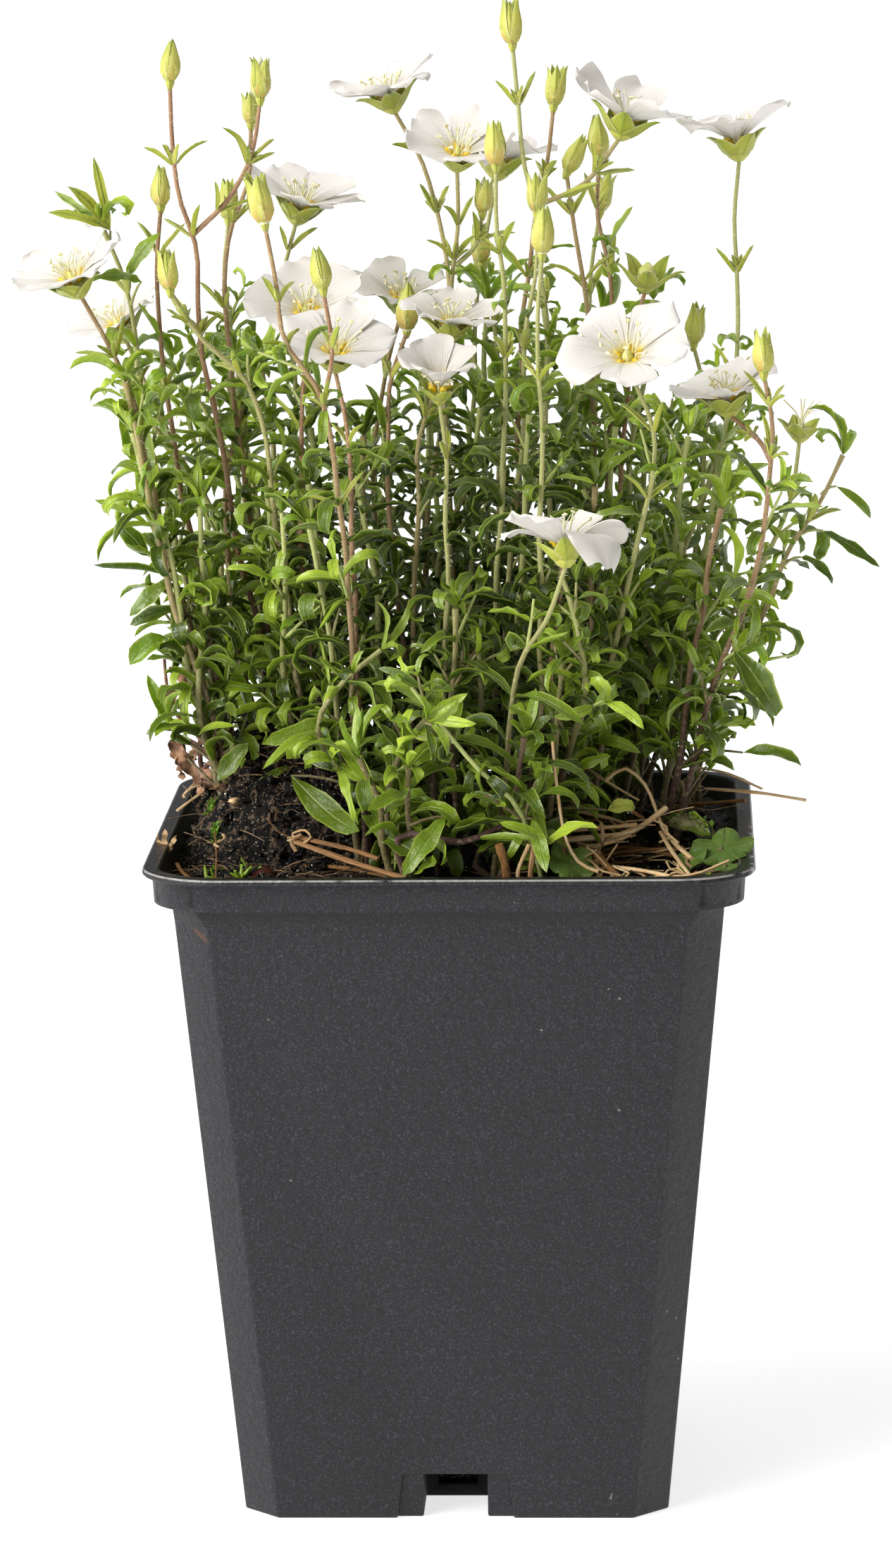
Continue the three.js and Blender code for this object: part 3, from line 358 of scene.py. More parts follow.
def face_outwards(shape):
    bmesh.ops.recalc_face_normals(shape, faces=shape.faces[:])


@functools.cache
def spindle(sides, stretches):
    """A sphere's points: ring numbers its rings from root to tip, x and y are the place round it."""
    shape = bmesh.new()
    bmesh.ops.create_uvsphere(shape, u_segments=sides, v_segments=stretches, radius=1)
    template = Template(shape)
    x, y, z = template.points.T
    around = np.hypot(x, y)
    at_pole = around < 1e-4
    safe = np.where(at_pole, 1, around)
    template.ring = np.rint(np.arccos(np.clip(-z, -1, 1)) / math.pi * stretches).astype(int)
    template.x = np.where(at_pole, 0, x / safe)
    template.y = np.where(at_pole, 0, y / safe)
    return template


class Growth:
    """Gathers grown copies in millimetres, and turns them into one piece."""

    def __init__(self):
        self.points, self.faces, self.slots, self.maps = [], [], [], []
        self.tints, self.youngs, self.finishes = [], [], []
        self.count = 0

    def add(self, template, points, finish, across=0.0, along=0.0, tint=0.5, young=0.5):
        """points holds copies x points x 3, and the other values fit that shape."""
        copies, size = points.shape[:2]
        if finish not in self.finishes:
            self.finishes.append(finish)

        def spread(value):
            return np.broadcast_to(np.asarray(value, float), (copies, size)).ravel()

        self.points.append(points.reshape(-1, 3))
        self.maps.append(np.stack([spread(across) * 0.5 + 0.5, spread(along)], 1))
        self.tints.append(spread(tint))
        self.youngs.append(spread(young))
        for copy in range(copies):
            start = self.count + copy * size
            self.faces += [[start + corner for corner in face] for face in template.faces]
        self.slots += [self.finishes.index(finish)] * (copies * len(template.faces))
        self.count += copies * size

    def piece(self, name, *nodes, slot):
        mesh = bpy.data.meshes.new(name)
        points = np.concatenate(self.points) * MM
        mesh.from_pydata(points, [], self.faces)
        mesh.polygons.foreach_set("material_index", self.slots)
        mesh.polygons.foreach_set("use_smooth", [True] * len(self.faces))
        corners = np.empty(len(mesh.loops), int)
        mesh.loops.foreach_get("vertex_index", corners)
        blade = mesh.uv_layers.new(name="blade")
        blade.data.foreach_set("uv", np.concatenate(self.maps)[corners].ravel())
        for key, values in (("tint", self.tints), ("young", self.youngs)):
            mesh.attributes.new(key, "FLOAT", "POINT").data.foreach_set("value", np.concatenate(values))
        for finish in self.finishes:
            mesh.materials.append(finish)
        mesh.set_sharp_from_angle(angle=math.radians(75))
        return settle(bpy.data.objects.new(name, mesh), *nodes, slot=slot)


def settle(made, *nodes, slot):
    """Puts a finished piece in the scene, on the plant's one body and in place of its solids."""
    bpy.context.scene.collection.objects.link(made)
    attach(made, "root")
    if nodes:
        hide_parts(*nodes)
    return made


def report(made):
    print(made.name, "faces", len(made.data.polygons))


print("a leaf's template has", len(spindle(8, 6).faces), "faces")

# %% [markdown]
# A rod is a template bent along a path of points, as a stem or a straw is. The path is rounded first:
# a smooth curve is laid through its points, and is then walked in even steps, whose directions turn
# the rings of the rod.

# %% Rods
def unit(vectors):
    vectors = np.asarray(vectors, float)
    return vectors / np.linalg.norm(vectors, axis=-1, keepdims=True)


def square_to(direction, wish):
    """The direction nearest to a wished one that stands square to another."""
    return unit(wish - direction * (direction @ wish))


def level(angle):
    return np.array([math.cos(angle), math.sin(angle), 0])


def turned(first, second, angle):
    """One direction, turned by an angle towards another."""
    return first * math.cos(angle) + second * math.sin(angle)


def flow(points, count, fine=24):
    """Places along a smooth curve through points, their directions, and the curve's length.

    count is a number of even steps, or the shares of the length at which the places lie."""
    points = np.asarray(points, float)
    ends = np.vstack([2 * points[0] - points[1], points, 2 * points[-1] - points[-2]])
    run = []
    for p0, p1, p2, p3 in zip(ends, ends[1:], ends[2:], ends[3:]):
        t0, t1, t2 = (max(np.linalg.norm(b - a), 1e-6) ** 0.5 for a, b in ((p0, p1), (p1, p2), (p2, p3)))
        leave = ((p1 - p0) / t0 - (p2 - p0) / (t0 + t1) + (p2 - p1) / t1) * t1
        arrive = ((p2 - p1) / t1 - (p3 - p1) / (t1 + t2) + (p3 - p2) / t2) * t1
        t = np.linspace(0, 1, fine, endpoint=False)[:, None]
        run.append(p1 + leave * t + (3 * (p2 - p1) - 2 * leave - arrive) * t**2
                   + (2 * (p1 - p2) + leave + arrive) * t**3)
    run = np.vstack([*run, points[-1:]])
    length = np.concatenate([[0], np.cumsum(np.linalg.norm(np.diff(run, axis=0), axis=1))])
    wanted = (np.arange(count) / (count - 1) if np.isscalar(count) else np.asarray(count)) * length[-1]

    def at(distance):
        return np.stack([np.interp(distance, length, run[:, axis]) for axis in range(3)], 1)

    return at(wanted), unit(at(wanted + 0.05) - at(wanted - 0.05)), length[-1]


def grow_rod(growth, points, radius, finish, sides=6, stretches=8, tint=0.5, young=0.5, flat=1.0):
    """radius is one number, or (share of the length, radius) pairs."""
    template = spindle(sides, stretches + 2)
    ring = template.ring
    share = np.concatenate([[0], np.linspace(0, 1, stretches + 1), [1]])
    centres, forward, _ = flow(points, share)
    steady = np.array([1.0, 0, 0]) if abs(forward[:, 0]).max() < 0.9 else np.array([0, 1.0, 0])
    across = unit(steady - forward * (forward @ steady)[:, None])
    third = np.cross(forward, across)
    pairs = [(0, radius), (1, radius)] if np.isscalar(radius) else radius
    thick = np.interp(share, *zip(*pairs))[ring][:, None]
    round_it = across[ring] * template.x[:, None] + third[ring] * template.y[:, None] * flat
    body = centres[ring] + thick * round_it
    growth.add(template, body[None], finish, template.x, share[ring], tint, young)


print("a rod of 8 stretches has", len(spindle(6, 10).faces), "faces")

# %% [markdown]
# A blade leaves its root at an angle to the stem, bends down as it goes, and has a channel down its
# middle, as a leaf or a sepal does. Blades are worked out many at a time, because numpy is quick
# with long rows of numbers and slow with many short ones. Down is grown too: hairs on the stems, the
# sepals and the upper leaves, which give the plant its pale outline against the light.

# %% Blades and down
HAIRS = np.random.default_rng(5)
LEAF_OUTLINE = [(0, 0.35), (0.12, 0.5), (0.3, 0.85), (0.5, 1), (0.7, 0.88), (0.85, 0.6), (0.94, 0.34), (1, 0)]
SEPAL_OUTLINE = [(0, 0.6), (0.25, 1), (0.5, 0.9), (0.75, 0.5), (0.9, 0.22), (1, 0)]


def grow_blades(growth, blades, outline, finish, sides=8, stretches=6, thick=0.2, downy=0):
    """Each blade is a dict. outline gives the share of the width at points along it."""
    if not blades:
        return
    template = spindle(sides, stretches)
    share = np.arange(stretches + 1) / stretches

    def numbers(key, plain=0.0):
        return np.array([blade.get(key, plain) for blade in blades], float)[:, None]

    def swung(first, second, angle):
        return first * np.cos(angle)[..., None] + second * np.sin(angle)[..., None]

    root, up, out = (np.array([blade[key] for blade in blades])[:, None] for key in ("root", "up", "out"))
    side = unit(np.cross(up, out))
    up = np.cross(out, side)
    slope = np.radians(numbers("elevation") - numbers("curl") * share - numbers("tip_curl") * share**3)
    yaw = np.radians(numbers("bend") * share**2)
    roll = np.radians(numbers("roll") * share)
    ahead = swung(out, up, slope)
    travel = swung(ahead, side, yaw)
    steps = (travel[:, 1:] + travel[:, :-1]) / 2 * (numbers("length") / stretches)[..., None]
    centre = root + np.concatenate([np.zeros_like(steps[:, :1]), np.cumsum(steps, 1)], 1)
    across = swung(side, -ahead, yaw)
    over = np.cross(travel, across)
    edge, face = swung(across, over, roll), swung(over, -across, roll)
    half = numbers("width") / 2 * np.interp(share, *zip(*outline))
    k, y = template.ring, template.y
    x = np.sign(template.x) * abs(template.x) ** 0.7
    rise = half[:, k] * numbers("channel", 0.4) * x**2 + thick * y * (1 - 0.75 * x**2)
    rise += numbers("ripple") * x * np.sin(share[k] * 14 + numbers("phase"))
    points = centre[:, k] + edge[:, k] * (half[:, k] * x)[..., None] + face[:, k] * rise[..., None]
    growth.add(template, points, finish, x, share[k], numbers("tint", 0.5), numbers("young", 0.5))
    if downy:
        row = np.arange(len(blades)).repeat(downy)
        ring = HAIRS.integers(0, stretches, len(row))
        between, hand = HAIRS.uniform(0, 1, (2, len(row), 1))
        hand = np.sign(hand - 0.5)
        near, far = (centre[row, r] + edge[row, r] * half[row, r][:, None] * hand * 0.95
                     for r in (ring, ring + 1))
        rims = near * (1 - between) + far * between + face[row, ring] * (half[row, ring] * 0.4)[:, None]
        grow_down(growth, rims, edge[row, ring] * hand + travel[row, ring] * 0.4, 0.5)


def grow_down(growth, roots, ways, length):
    """Three-sided hairs that stand out from their roots, each leaning a little its own way."""
    template = spindle(3, 2)
    ways = unit(ways + HAIRS.normal(0, 0.35, ways.shape))
    across = unit(np.cross(ways, [0.31, 0.53, 0.79]))
    third = np.cross(ways, across)
    long = length * HAIRS.uniform(0.5, 1.3, (len(ways), 1, 1))
    body = across[:, None] * template.x[:, None] + third[:, None] * template.y[:, None]
    points = roots[:, None] + ways[:, None] * long * (template.ring[:, None] / 2 - 0.1) + 0.028 * body
    growth.add(template, points, HAIR)


def down_along(growth, points, radius, lowest, each=5.0, length=0.5):
    """Hairs all round a path, so many to a millimetre, above a height."""
    total = flow(points, 3)[2]
    share = np.sort(HAIRS.uniform(0, 1, int(total * each)))
    at, along, _ = flow(points, share)
    share, at, along = (rows[at[:, 2] > lowest] for rows in (share, at, along))
    if len(at):
        sideways = unit(np.cross(along, HAIRS.normal(0, 1, at.shape)))
        thick = np.interp(share, *zip(*radius))[:, None]
        grow_down(growth, at + sideways * thick, sideways + along * 0.3, length)


print("a leaf is", len(spindle(8, 6).points), "points")

# %% [markdown]
# Where each stem grows is known from the solids, and is repeated here in millimetres: every clump's
# crown on the soil, how high its leafy stems reach, and the path and end of each flower stalk. A
# stalk that forks from another starts at the fork.

# %% The plant's layout
def stalk(end, lean, *path, **more):
    """A flower stalk: what it ends in, its lean sideways and forwards in degrees, and its path."""
    return {"end": end, "lean": lean, "path": path, **more}


# Each clump's crown, the height of its tallest leafy stem, the number of these, and its stalks.
CLUMPS = [
    ((-6.4, -31), 128, 3, []),
    ((6.4, -30), 126, 1, [
        stalk("flower", (-4, -14), (11, -32, 129), (15, -36, 137), (17.6, -38, 144.7), turn=20, size=1.08,
              pink=0.1, calyx=0.76)]),
    ((-12.8, -18.6), 150, 1, [
        stalk("bud", (-10, 0), (-15.5, -28, 152), (-17.5, -33, 167.5), (-22, -33, 176), (-24, -32, 182),
              (-25.6, -31, 193.5), size=1.2, pink=0.75),
        stalk("bud", (-8, 0), (-16, -35.5, 176), (-17, -36, 184.5), fork=(-17.5, -33, 167.5), pink=0.9),
        stalk("flower", (3, 24), (-15, -19, 160), (-16.6, -16, 170.8), turn=8, size=1.04)]),
    ((0, -18.6), 148, 2, [
        stalk("flower", (2, 16), (-0.5, -22, 158), (-1.1, -20, 166.5), turn=40, size=0.66, rise=0.95)]),
    ((12.8, -18.6), 150, 2, [
        stalk("bud", (2, 0), (13.6, -21, 170), (14.2, -22, 188), size=1.1)]),
    ((-32, -6.2), 170, 2, [
        stalk("flower", (-22, 20), (-46.4, -8, 160), (-49.3, -9, 172), (-54.5, -10, 181.4), turn=0),
        stalk("bud", (2, 4), (-43, 3, 165), (-43.9, 5, 185.5), (-43.7, 6, 193), pink=0.8),
        stalk("tuft", (-8, 0), (-47, 0, 166), (-48.4, 2, 180), (-52, 2, 190))]),
    ((-19.2, -6.2), 163, 2, [
        stalk("bud", (-4, 0), (-30.5, -12, 170), (-38.2, -15, 177), (-40.7, -16, 182.5), pink=0.6),
        stalk("flower", (-4, 30), (-23, -1, 160), (-21.8, 7, 174.7), turn=30, size=0.98)]),
    ((-6.4, -6.2), 158, 1, [
        stalk("flower", (6, 12), (-4, -6, 162), (0, -5, 174), turn=15, size=0.85),
        stalk("bud", (3, 4), (-9.7, 3, 167), (-6.9, 6, 174), size=1.15)]),
    ((6.4, -6.2), 164, 1, [
        stalk("bud", (2, 6), (11.5, -6, 172), (13.1, -4, 192.5), size=0.95),
        stalk("bud", (-1, 3), (8.4, -13, 172), (8.1, -15, 187), (7.4, -16, 200.5))]),
    ((19.2, -6.2), 170, 2, [
        stalk("flower", (-6, 38), (29, -20, 152), (30.4, -26, 162), (26.9, -28, 171.6), turn=52,
              size=1.06)]),
    ((32, -6.2), 154, 2, [
        stalk("bud", (-2, 0), (45, -19, 140), (47.3, -28, 158.5), (46.8, -31, 166), (46.3, -32, 171.5)),
        stalk("flower", (-12, 8), (44.8, -19, 161), (41.6, -14, 163.5), fork=(47.3, -28, 158.5), turn=64,
              size=0.92),
        stalk("tuft", (14, 0), (44, -4, 128), (53, -3, 146), (58.5, -2, 156))]),
    ((-25.6, 6.2), 184, 1, [
        stalk("bud", (4, 0), (-37.5, 1, 174), (-38.4, 0, 189.5), (-41.3, 0, 199), (-41.5, 0, 212),
              pink=0.9),
        stalk("bud", (1, 0), (-35.2, -2, 193), (-29.7, -3, 200), (-27.8, -4, 209.7),
              fork=(-38.4, 0, 189.5), pink=0.9),
        stalk("bud", (0, 6), (-34, 7, 178), (-33, 9, 190), (-29.2, 10, 200), (-30.2, 10, 205),
              size=0.8)]),
    ((-12.8, 6.2), 168, 2, []),
    ((0, 6.2), 166, 1, [
        stalk("flower", (4, 26), (-1, 8, 172), (0.6, 6, 184), (1.3, 5, 190), (1, 4, 198.6), turn=70,
              size=0.92),
        stalk("bud", (2, 8), (3.6, 8, 187), (4.6, 8, 191.5), fork=(0.6, 6, 184), size=0.85)]),
    ((12.8, 6.2), 180, 1, [
        stalk("bud", (-3, 0), (14, 4, 178), (12.4, 2, 193), (10.4, 2, 207.5), (9.5, 2, 217), size=1.05),
        stalk("flower", (18, 4), (16, 3, 194.5), (21.5, 4, 197.5), (25.3, 4, 203), fork=(12.4, 2, 193),
              turn=12, size=1.02)]),
    ((25.6, 6.2), 166, 1, [
        stalk("flower", (-8, 0), (42, 14, 165), (42.8, 16, 181.5), (43.3, 16, 198.8), turn=48, size=0.93,
              rise=0.5, pink=0.4),
        stalk("spent", (6, 8), (45, 8, 136), (51, 8, 147.5), (52.2, 8, 157))]),
    ((-32, 18.6), 168, 1, [
        stalk("flower", (-24, 16), (-46, 25, 160), (-51, 25, 171), turn=34, size=0.95)]),
    ((-19.2, 18.6), 178, 1, [
        stalk("flower", (14, 10), (-26, 26, 172), (-25.8, 25, 184.8), (-24.5, 24, 189), turn=58,
              size=0.98)]),
    ((-6.4, 18.6), 170, 1, [
        stalk("flower", (-18, 6), (-1, 19, 175), (-2.5, 21, 190), (-5, 21.5, 199.5), (-9.1, 22, 206),
              turn=26, size=0.9)]),
    ((6.4, 18.6), 178, 1, [
        stalk("bud", (6, 0), (11, 19, 180), (13.8, 17, 196), (15.2, 18, 206.7), size=0.95),
        stalk("bud", (-4, 0), (5.5, 28, 172), (3.8, 30, 181.8))]),
    ((19.2, 18.6), 188, 1, [
        stalk("bud", (-4, 0), (23.5, 25, 180), (22, 28, 190), (22, 28, 198), size=1.05),
        stalk("bud", (24, 0), (20, 15, 180), (18, 14, 190), (17.2, 14, 197), size=0.95),
        stalk("bud", (6, 6), (27, 17, 172), (29, 16, 179), open=True)]),
    ((32, 18.6), 163, 1, [
        stalk("bud", (6, 0), (38, 27, 158), (36.3, 26, 169.5))]),
    ((-25.6, 31), 166, 1, [
        stalk("bud", (0, 0), (-36, 36, 172), (-35.5, 33, 188.5))]),
    ((-12.8, 31), 162, 1, [
        stalk("flower", (4, 18), (-12, 33, 164), (-8.7, 28, 174.5), turn=44, size=0.9)]),
    ((0, 31), 168, 1, [
        stalk("flower", (8, -6), (3, 38, 178), (6, 36, 194.5), turn=5, size=0.95)]),
    ((12.8, 31), 172, 1, [
        stalk("bud", (8, 0), (20, 38, 176), (21.9, 37, 189))]),
    ((25.6, 31), 158, 2, []),
]
print("clumps:", len(CLUMPS))

# %% [markdown]
# The solids' stems were placed by a seeded row of numbers, so the same row, asked in the same order,
# gives the same stems and leaves here. The soil's height and the way the stems spread outwards are
# formulas, and are repeated too.

# %% Repeating how the solids grew
SPREAD_LOW, SPREAD_HIGH, SPREAD_GAIN = 96, 172, 0.42
STEM_START = 0.9
STEM_GAP = 1.75
CROWN_EDGE = 1.15


def draws(seed):
    """A row of numbers between 0 and 1, each from the one before."""
    state = [seed]

    def draw():
        state[0] = (state[0] * 1664525 + 1013904223) % 2**32
        return state[0] / 2**32

    draw()
    draw()
    return draw


def clamp(value):
    return min(max(value, 0), 1)


def mound(x, y, middle, height, width):
    away = (x - middle[0])**2 + (y - middle[1])**2
    return height * math.exp(-away / width**2)


def soil_height(x, y):
    crown = mound(x, y, (0, 0), 4, 24)
    heap = mound(x, y, (-27, 2), 10, 11) - mound(x, y, (34, 30), 4, 13)
    lumps = math.sin(x * 0.55 + 1.3 * math.sin(y * 0.31)) * math.sin(y * 0.62 + 0.8 + math.sin(x * 0.23))
    return 93.8 + crown + heap + 0.8 * lumps


def spread_from(crown, z):
    gain = 1 + SPREAD_GAIN * clamp((z - SPREAD_LOW) / (SPREAD_HIGH - SPREAD_LOW))
    return np.array([crown[0] * gain, crown[1] * gain, z])


def start_of(crown):
    return np.array([*crown, soil_height(*crown) + STEM_START])


print("the soil in the middle is", round(soil_height(0, 0), 1), "mm high")

# %% [markdown]
# Leafy stems spread out from their crown, flower stalks follow the paths in the list, and both carry
# opposite pairs of leaves. A pair is kept as a few numbers here, and becomes two blades later.

# %% The solids' stems and leaves
def leafy_stem(clump, number, draw):
    around = (number / 3 + draw()) * 2 * math.pi
    aside = 2.6 + 1.4 * draw()
    height = clump["top"] - 14 * draw() - 8 * number
    points = [start_of(clump["crown"])]
    for part in (0.3, 0.65, 1):
        place = spread_from(clump["crown"], points[0][2] + (height - points[0][2]) * part)
        place[0] += math.cos(around) * aside * (0.4 + part) + (draw() - 0.5) * 1.6
        place[1] += math.sin(around) * aside * (0.4 + part) + (draw() - 0.5) * 1.6
        points.append(place)
    return {"points": points, "turn": draw() * math.pi, "shape": None}


def flower_stalk(clump, shape, draw):
    upper = [np.array(place, float) for place in shape["path"]]
    turn = draw() * math.pi
    if "fork" in shape:
        return {"points": [np.array(shape["fork"], float), *upper], "turn": turn, "shape": shape}
    start = start_of(clump["crown"])
    middle = (start + upper[0]) / 2
    pulled = spread_from(clump["crown"], middle[2]) * 0.4 + middle * 0.6
    return {"points": [start, pulled, *upper], "turn": turn, "shape": shape}


def arrange_on_crown(clump, stems):
    """Stems start side by side round the crown, each on the side that it leans to."""
    standing = [stem for stem in stems if "fork" not in (stem["shape"] or {})]
    count = len(standing)

    def lean(stem):
        away = stem["points"][1] - spread_from(clump["crown"], stem["points"][1][2])
        return math.atan2(away[1], away[0])

    standing.sort(key=lean)
    slot = 2 * math.pi / max(count, 1)
    turn = sum(lean(stem) - i * slot for i, stem in enumerate(standing)) / max(count, 1)
    reach = STEM_GAP / (2 * math.sin(math.pi / count)) if count > 1 else 0
    for i, stem in enumerate(standing):
        aside = level(turn + i * slot) * reach
        stem["points"][0] = stem["points"][0] + aside
        stem["points"][1] = stem["points"][1] + aside / 2
    return reach + CROWN_EDGE


def leaf_pairs(places, draw):
    """Opposite pairs, each turned a quarter from the one below, with their shapes as in the solids."""
    pairs = []
    for k, along in enumerate(places):
        at_tip = along > 0.95
        size = (0.75 if at_tip else 1.14 - 0.3 * along) * (0.88 + 0.3 * draw())
        leaves = []
        for opposite in (0, 2):
            leaf = {"face": k % 2 + opposite, "aside": (draw() - 0.5) * 30,
                    "length": 12.5 * size, "width": 3.5 * (0.85 + 0.15 * size)}
            leaf["elevation"] = 60 if at_tip else 38 + 14 * (draw() - 0.5)
            leaf["curl"] = 30 if at_tip else 62 * (0.5 + draw())
            leaf["roll"] = 50 * (draw() - 0.5)
            if not at_tip:
                draw()  # the solids ask for one number more here
            leaves.append(leaf)
        pairs.append((along, leaves))
    return pairs


def facing(lean):
    sideways, forward = (math.radians(angle) for angle in lean)
    return unit([math.tan(sideways), -math.tan(forward), 1])


def pair_places(shape):
    """The shares of a stem's length at which its pairs of leaves stand."""
    if shape is None:
        return [0.36, 0.58, 0.79, 1]
    low = [] if "fork" in shape else [0.34, 0.56]
    return low + [0.8, 1] if shape["end"] == "tuft" else low


def grown_clumps():
    grown = []
    for number, (crown, top, leafy, stalks) in enumerate(CLUMPS):
        clump = {"number": number + 1, "crown": crown, "top": top}
        draw = draws(1000 + number * 97)
        stems = [leafy_stem(clump, k, draw) for k in range(leafy)]
        stems += [flower_stalk(clump, shape, draw) for shape in stalks]
        radius = arrange_on_crown(clump, stems)
        for stem in stems:
            stem["pairs"] = leaf_pairs(pair_places(stem["shape"]), draw)
        grown.append({**clump, "stems": stems, "radius": radius})
    return grown


clumps = grown_clumps()
print("stems:", sum(len(clump["stems"]) for clump in clumps))

# %% [markdown]
# Flowers are listed before any leaf grows, because a leaf that would poke through a petal is left
# out. A flower's petals fill a shallow bowl, so a point is tested in the flower's own directions:
# how far out from its axis, and how high along it.

# %% Flowers and the room they take
FLOWER_REACH = 9.6
FLOWER_RISE = 0.34


def listed_flowers():
    found = []
    for clump in clumps:
        for stem in clump["stems"]:
            shape = stem["shape"]
            if shape and shape["end"] == "flower":
                found.append({"seat": stem["points"][-1], "axis": facing(shape["lean"]),
                              "turn": shape["turn"], "size": shape.get("size", 1),
                              "rise": shape.get("rise", FLOWER_RISE)})
    return found


flowers = listed_flowers()


def in_a_flower(points):
    """True where any of the points lies among a flower's petals or stamens."""
    for flower in flowers:
        away = points - flower["seat"]
        high = away @ flower["axis"]
        out = np.linalg.norm(away - high[..., None] * flower["axis"], axis=-1)
        size = flower["size"]
        if ((out < (FLOWER_REACH + 0.6) * size) & (high > 0.4 * size) & (high < 9 * size)).any():
            return True
    return False


print("flowers:", len(flowers))

# %% [markdown]
# Leaves that grow by rule stay out of some places: petals, the soil, the pot's lip, and clearings at
# the front left and the back right where bare soil shows. So the soil's real shape is needed here:
# the plug that the plant was raised in stands up out of it, and a clod lies at the right.

# %% Room for leaves
SOIL_REACH = 36.5
LOWEST_OUTSIDE = 102
MIDDLE_X, HALF_WIDE, HALF_DEEP, HIGHEST = -1, 66, 48, 221
LOOSE_LEAF_SEED = 26
chance = random.Random(LOOSE_LEAF_SEED)


def about(middle, spread):
    return middle + spread * (chance.random() - 0.5)


def flat_rise(x, y, middle, height, radius, edge):
    return height / (1 + math.exp((math.hypot(x - middle[0], y - middle[1]) - radius) / edge))


def root_ball(x, y):
    """How far the plug and the clod stand up out of the soil."""
    return flat_rise(x, y, (-25.5, -4), 12.4, 13.5, 1.3) + flat_rise(x, y, (35, 8), 5, 6, 1.1)


def in_a_clearing(x, y, z):
    front_left = x < -15 and y < 6 and z < 112 + 0.2 * (x + 15)
    left_edge = x < -33 and y < 22 and z < 114.5
    back_right = x > 27 and z < 111
    return front_left or left_edge or back_right


def half_on(blade, start, share):
    """Half a blade's length on from a place, in the direction that it has at a share of its length."""
    slope = math.radians(blade["elevation"] - blade["curl"] * share)
    return start + blade["length"] / 2 * turned(blade["out"], blade["up"], slope)


def fits(blade):
    """A blade is kept where its middle and tip are clear of flowers, the rim and the soil."""
    middle = half_on(blade, blade["root"], 0.25)
    tip = half_on(blade, middle, 0.6)
    for x, y, z in (middle, tip):
        outside = max(abs(x), abs(y)) > SOIL_REACH
        if z < (LOWEST_OUTSIDE if outside else soil_height(x, y) + root_ball(x, y) + 1):
            return False
        if abs(x - MIDDLE_X) > HALF_WIDE or abs(y) > HALF_DEEP or z > HIGHEST or in_a_clearing(x, y, z):
            return False
    return not in_a_flower(np.array([middle, (middle + tip) / 2, tip]))


print("the plug stands", round(root_ball(-25.5, -4), 1), "mm out of the soil")

# %% [markdown]
# A living stem has far more leaves than the solids show. Between the solids' pairs come more pairs,
# every seven or eight millimetres, and out of many of their axils grows a short side shoot with
# small leaves of its own. So the plant closes into the cushion that the real one makes, and stays
# open towards the top where only flower stalks rise.

# %% Leafy shoots
INTERNODE = 7.8
SIDE_SHOOT_CHANCE = 0.44
FRESH_SHOOT_CHANCE = 0.4
ROLLED_SHARE = 0.4
ROLLED_TIP = 230
FRESH_FROM, FRESH_OVER = 118, 60


def age_at(place):
    """0 for leaves low on the plant, 1 for the fresh ones near its top."""
    return clamp((place[2] - FRESH_FROM) / FRESH_OVER)


def leaf_at(place, forward, turn, angle, **shape):
    """A leaf on a stem: turn and angle say on which side of it."""
    across = square_to(forward, level(turn))
    out = turned(across, np.cross(forward, across), angle)
    return {"root": place, "up": forward, "out": out, **shape}


def habit(age):
    """How a leaf hangs: most arch over gently, and some roll their tips right round."""
    rolled = chance.random() < ROLLED_SHARE
    return {"bend": about(0, 100), "roll": about(0, 130), "channel": about(0.5, 0.7),
            "tip_curl": about(270, 200) if rolled else about(30, 140),
            "ripple": about(0.16, 0.26), "phase": about(0, 6),
            "tint": chance.random(), "young": clamp(age + about(0, 0.35))}


def side_shoot(blades, rods, place, up, out, size, age):
    """A short shoot in a leaf's axil: a stem with two pairs of small leaves, some long and fresh."""
    toward = unit(up * about(1.1, 0.5) + out * about(0.7, 0.4))
    if chance.random() < FRESH_SHOOT_CHANCE:
        size, age = size * 1.35, 1
    length = about(6, 4) * size
    rods.append(([place, place + toward * length * 0.5 + up * 0.3, place + toward * length], 0.32, age))
    turn = chance.random() * math.pi
    for k, share in enumerate((0.55, 1.0)):
        for half in (0, 1):
            angle = (k / 2 + half) * math.pi + about(0, 0.4)
            blades.append(leaf_at(place + toward * length * share, toward, turn, angle,
                                  length=about(7.4 - 1.2 * k, 3.4) * size, width=about(1.5, 0.6) * size,
                                  elevation=about(44 + 24 * k, 24), curl=about(40, 60), **habit(age + 0.35)))


def clothe(blades, rods, stem, low, high, vigour):
    """Adds pairs of leaves and side shoots to a stem between two shares of its length."""
    _, _, length = flow(stem["points"], 20)
    taken = [along for along, _ in stem.get("pairs", [])]
    share, k = low, 0
    while share < high:
        k += 1
        if all(abs(share - along) > 2.6 / length for along in taken):
            place, forward, _ = flow(stem["points"], [share])
            place, forward = place[0], forward[0]
            age = age_at(place)
            size = (1.1 - 0.3 * share) * vigour
            broad = 1 + 0.6 * (max(132 - place[2], 0) / 36) ** 1.5
            for half in (0, 1):
                angle = (k / 2 + half) * math.pi + about(0, 0.5)
                leaf = leaf_at(place, forward, stem["turn"], angle, length=about(10.2, 6) * size,
                               width=about(1.6, 0.8) * broad, elevation=about(48, 44),
                               curl=about(58, 130), **habit(age * 0.75))
                if leaf["tip_curl"] > ROLLED_TIP:
                    leaf["curl"] += about(120, 80)
                blades.append(leaf)
                shoots = SIDE_SHOOT_CHANCE * (1.35 if place[0] > 12 else 1)
                if chance.random() < shoots * vigour * (1.2 - 0.7 * age):
                    side_shoot(blades, rods, place, forward, leaf["out"], size, age)
        share += about(INTERNODE, 2.4) / length


print("internode", INTERNODE, "mm")

# %% [markdown]
# Above the leafy part a flower stalk has small pointed bracts at its joints. Stems aren't straight:
# they bend a little at every joint. And nearly every clump gets a leafy stem or two more than the
# solids have. Two wayward ones lean across the front of the plant, as they do in the picture.

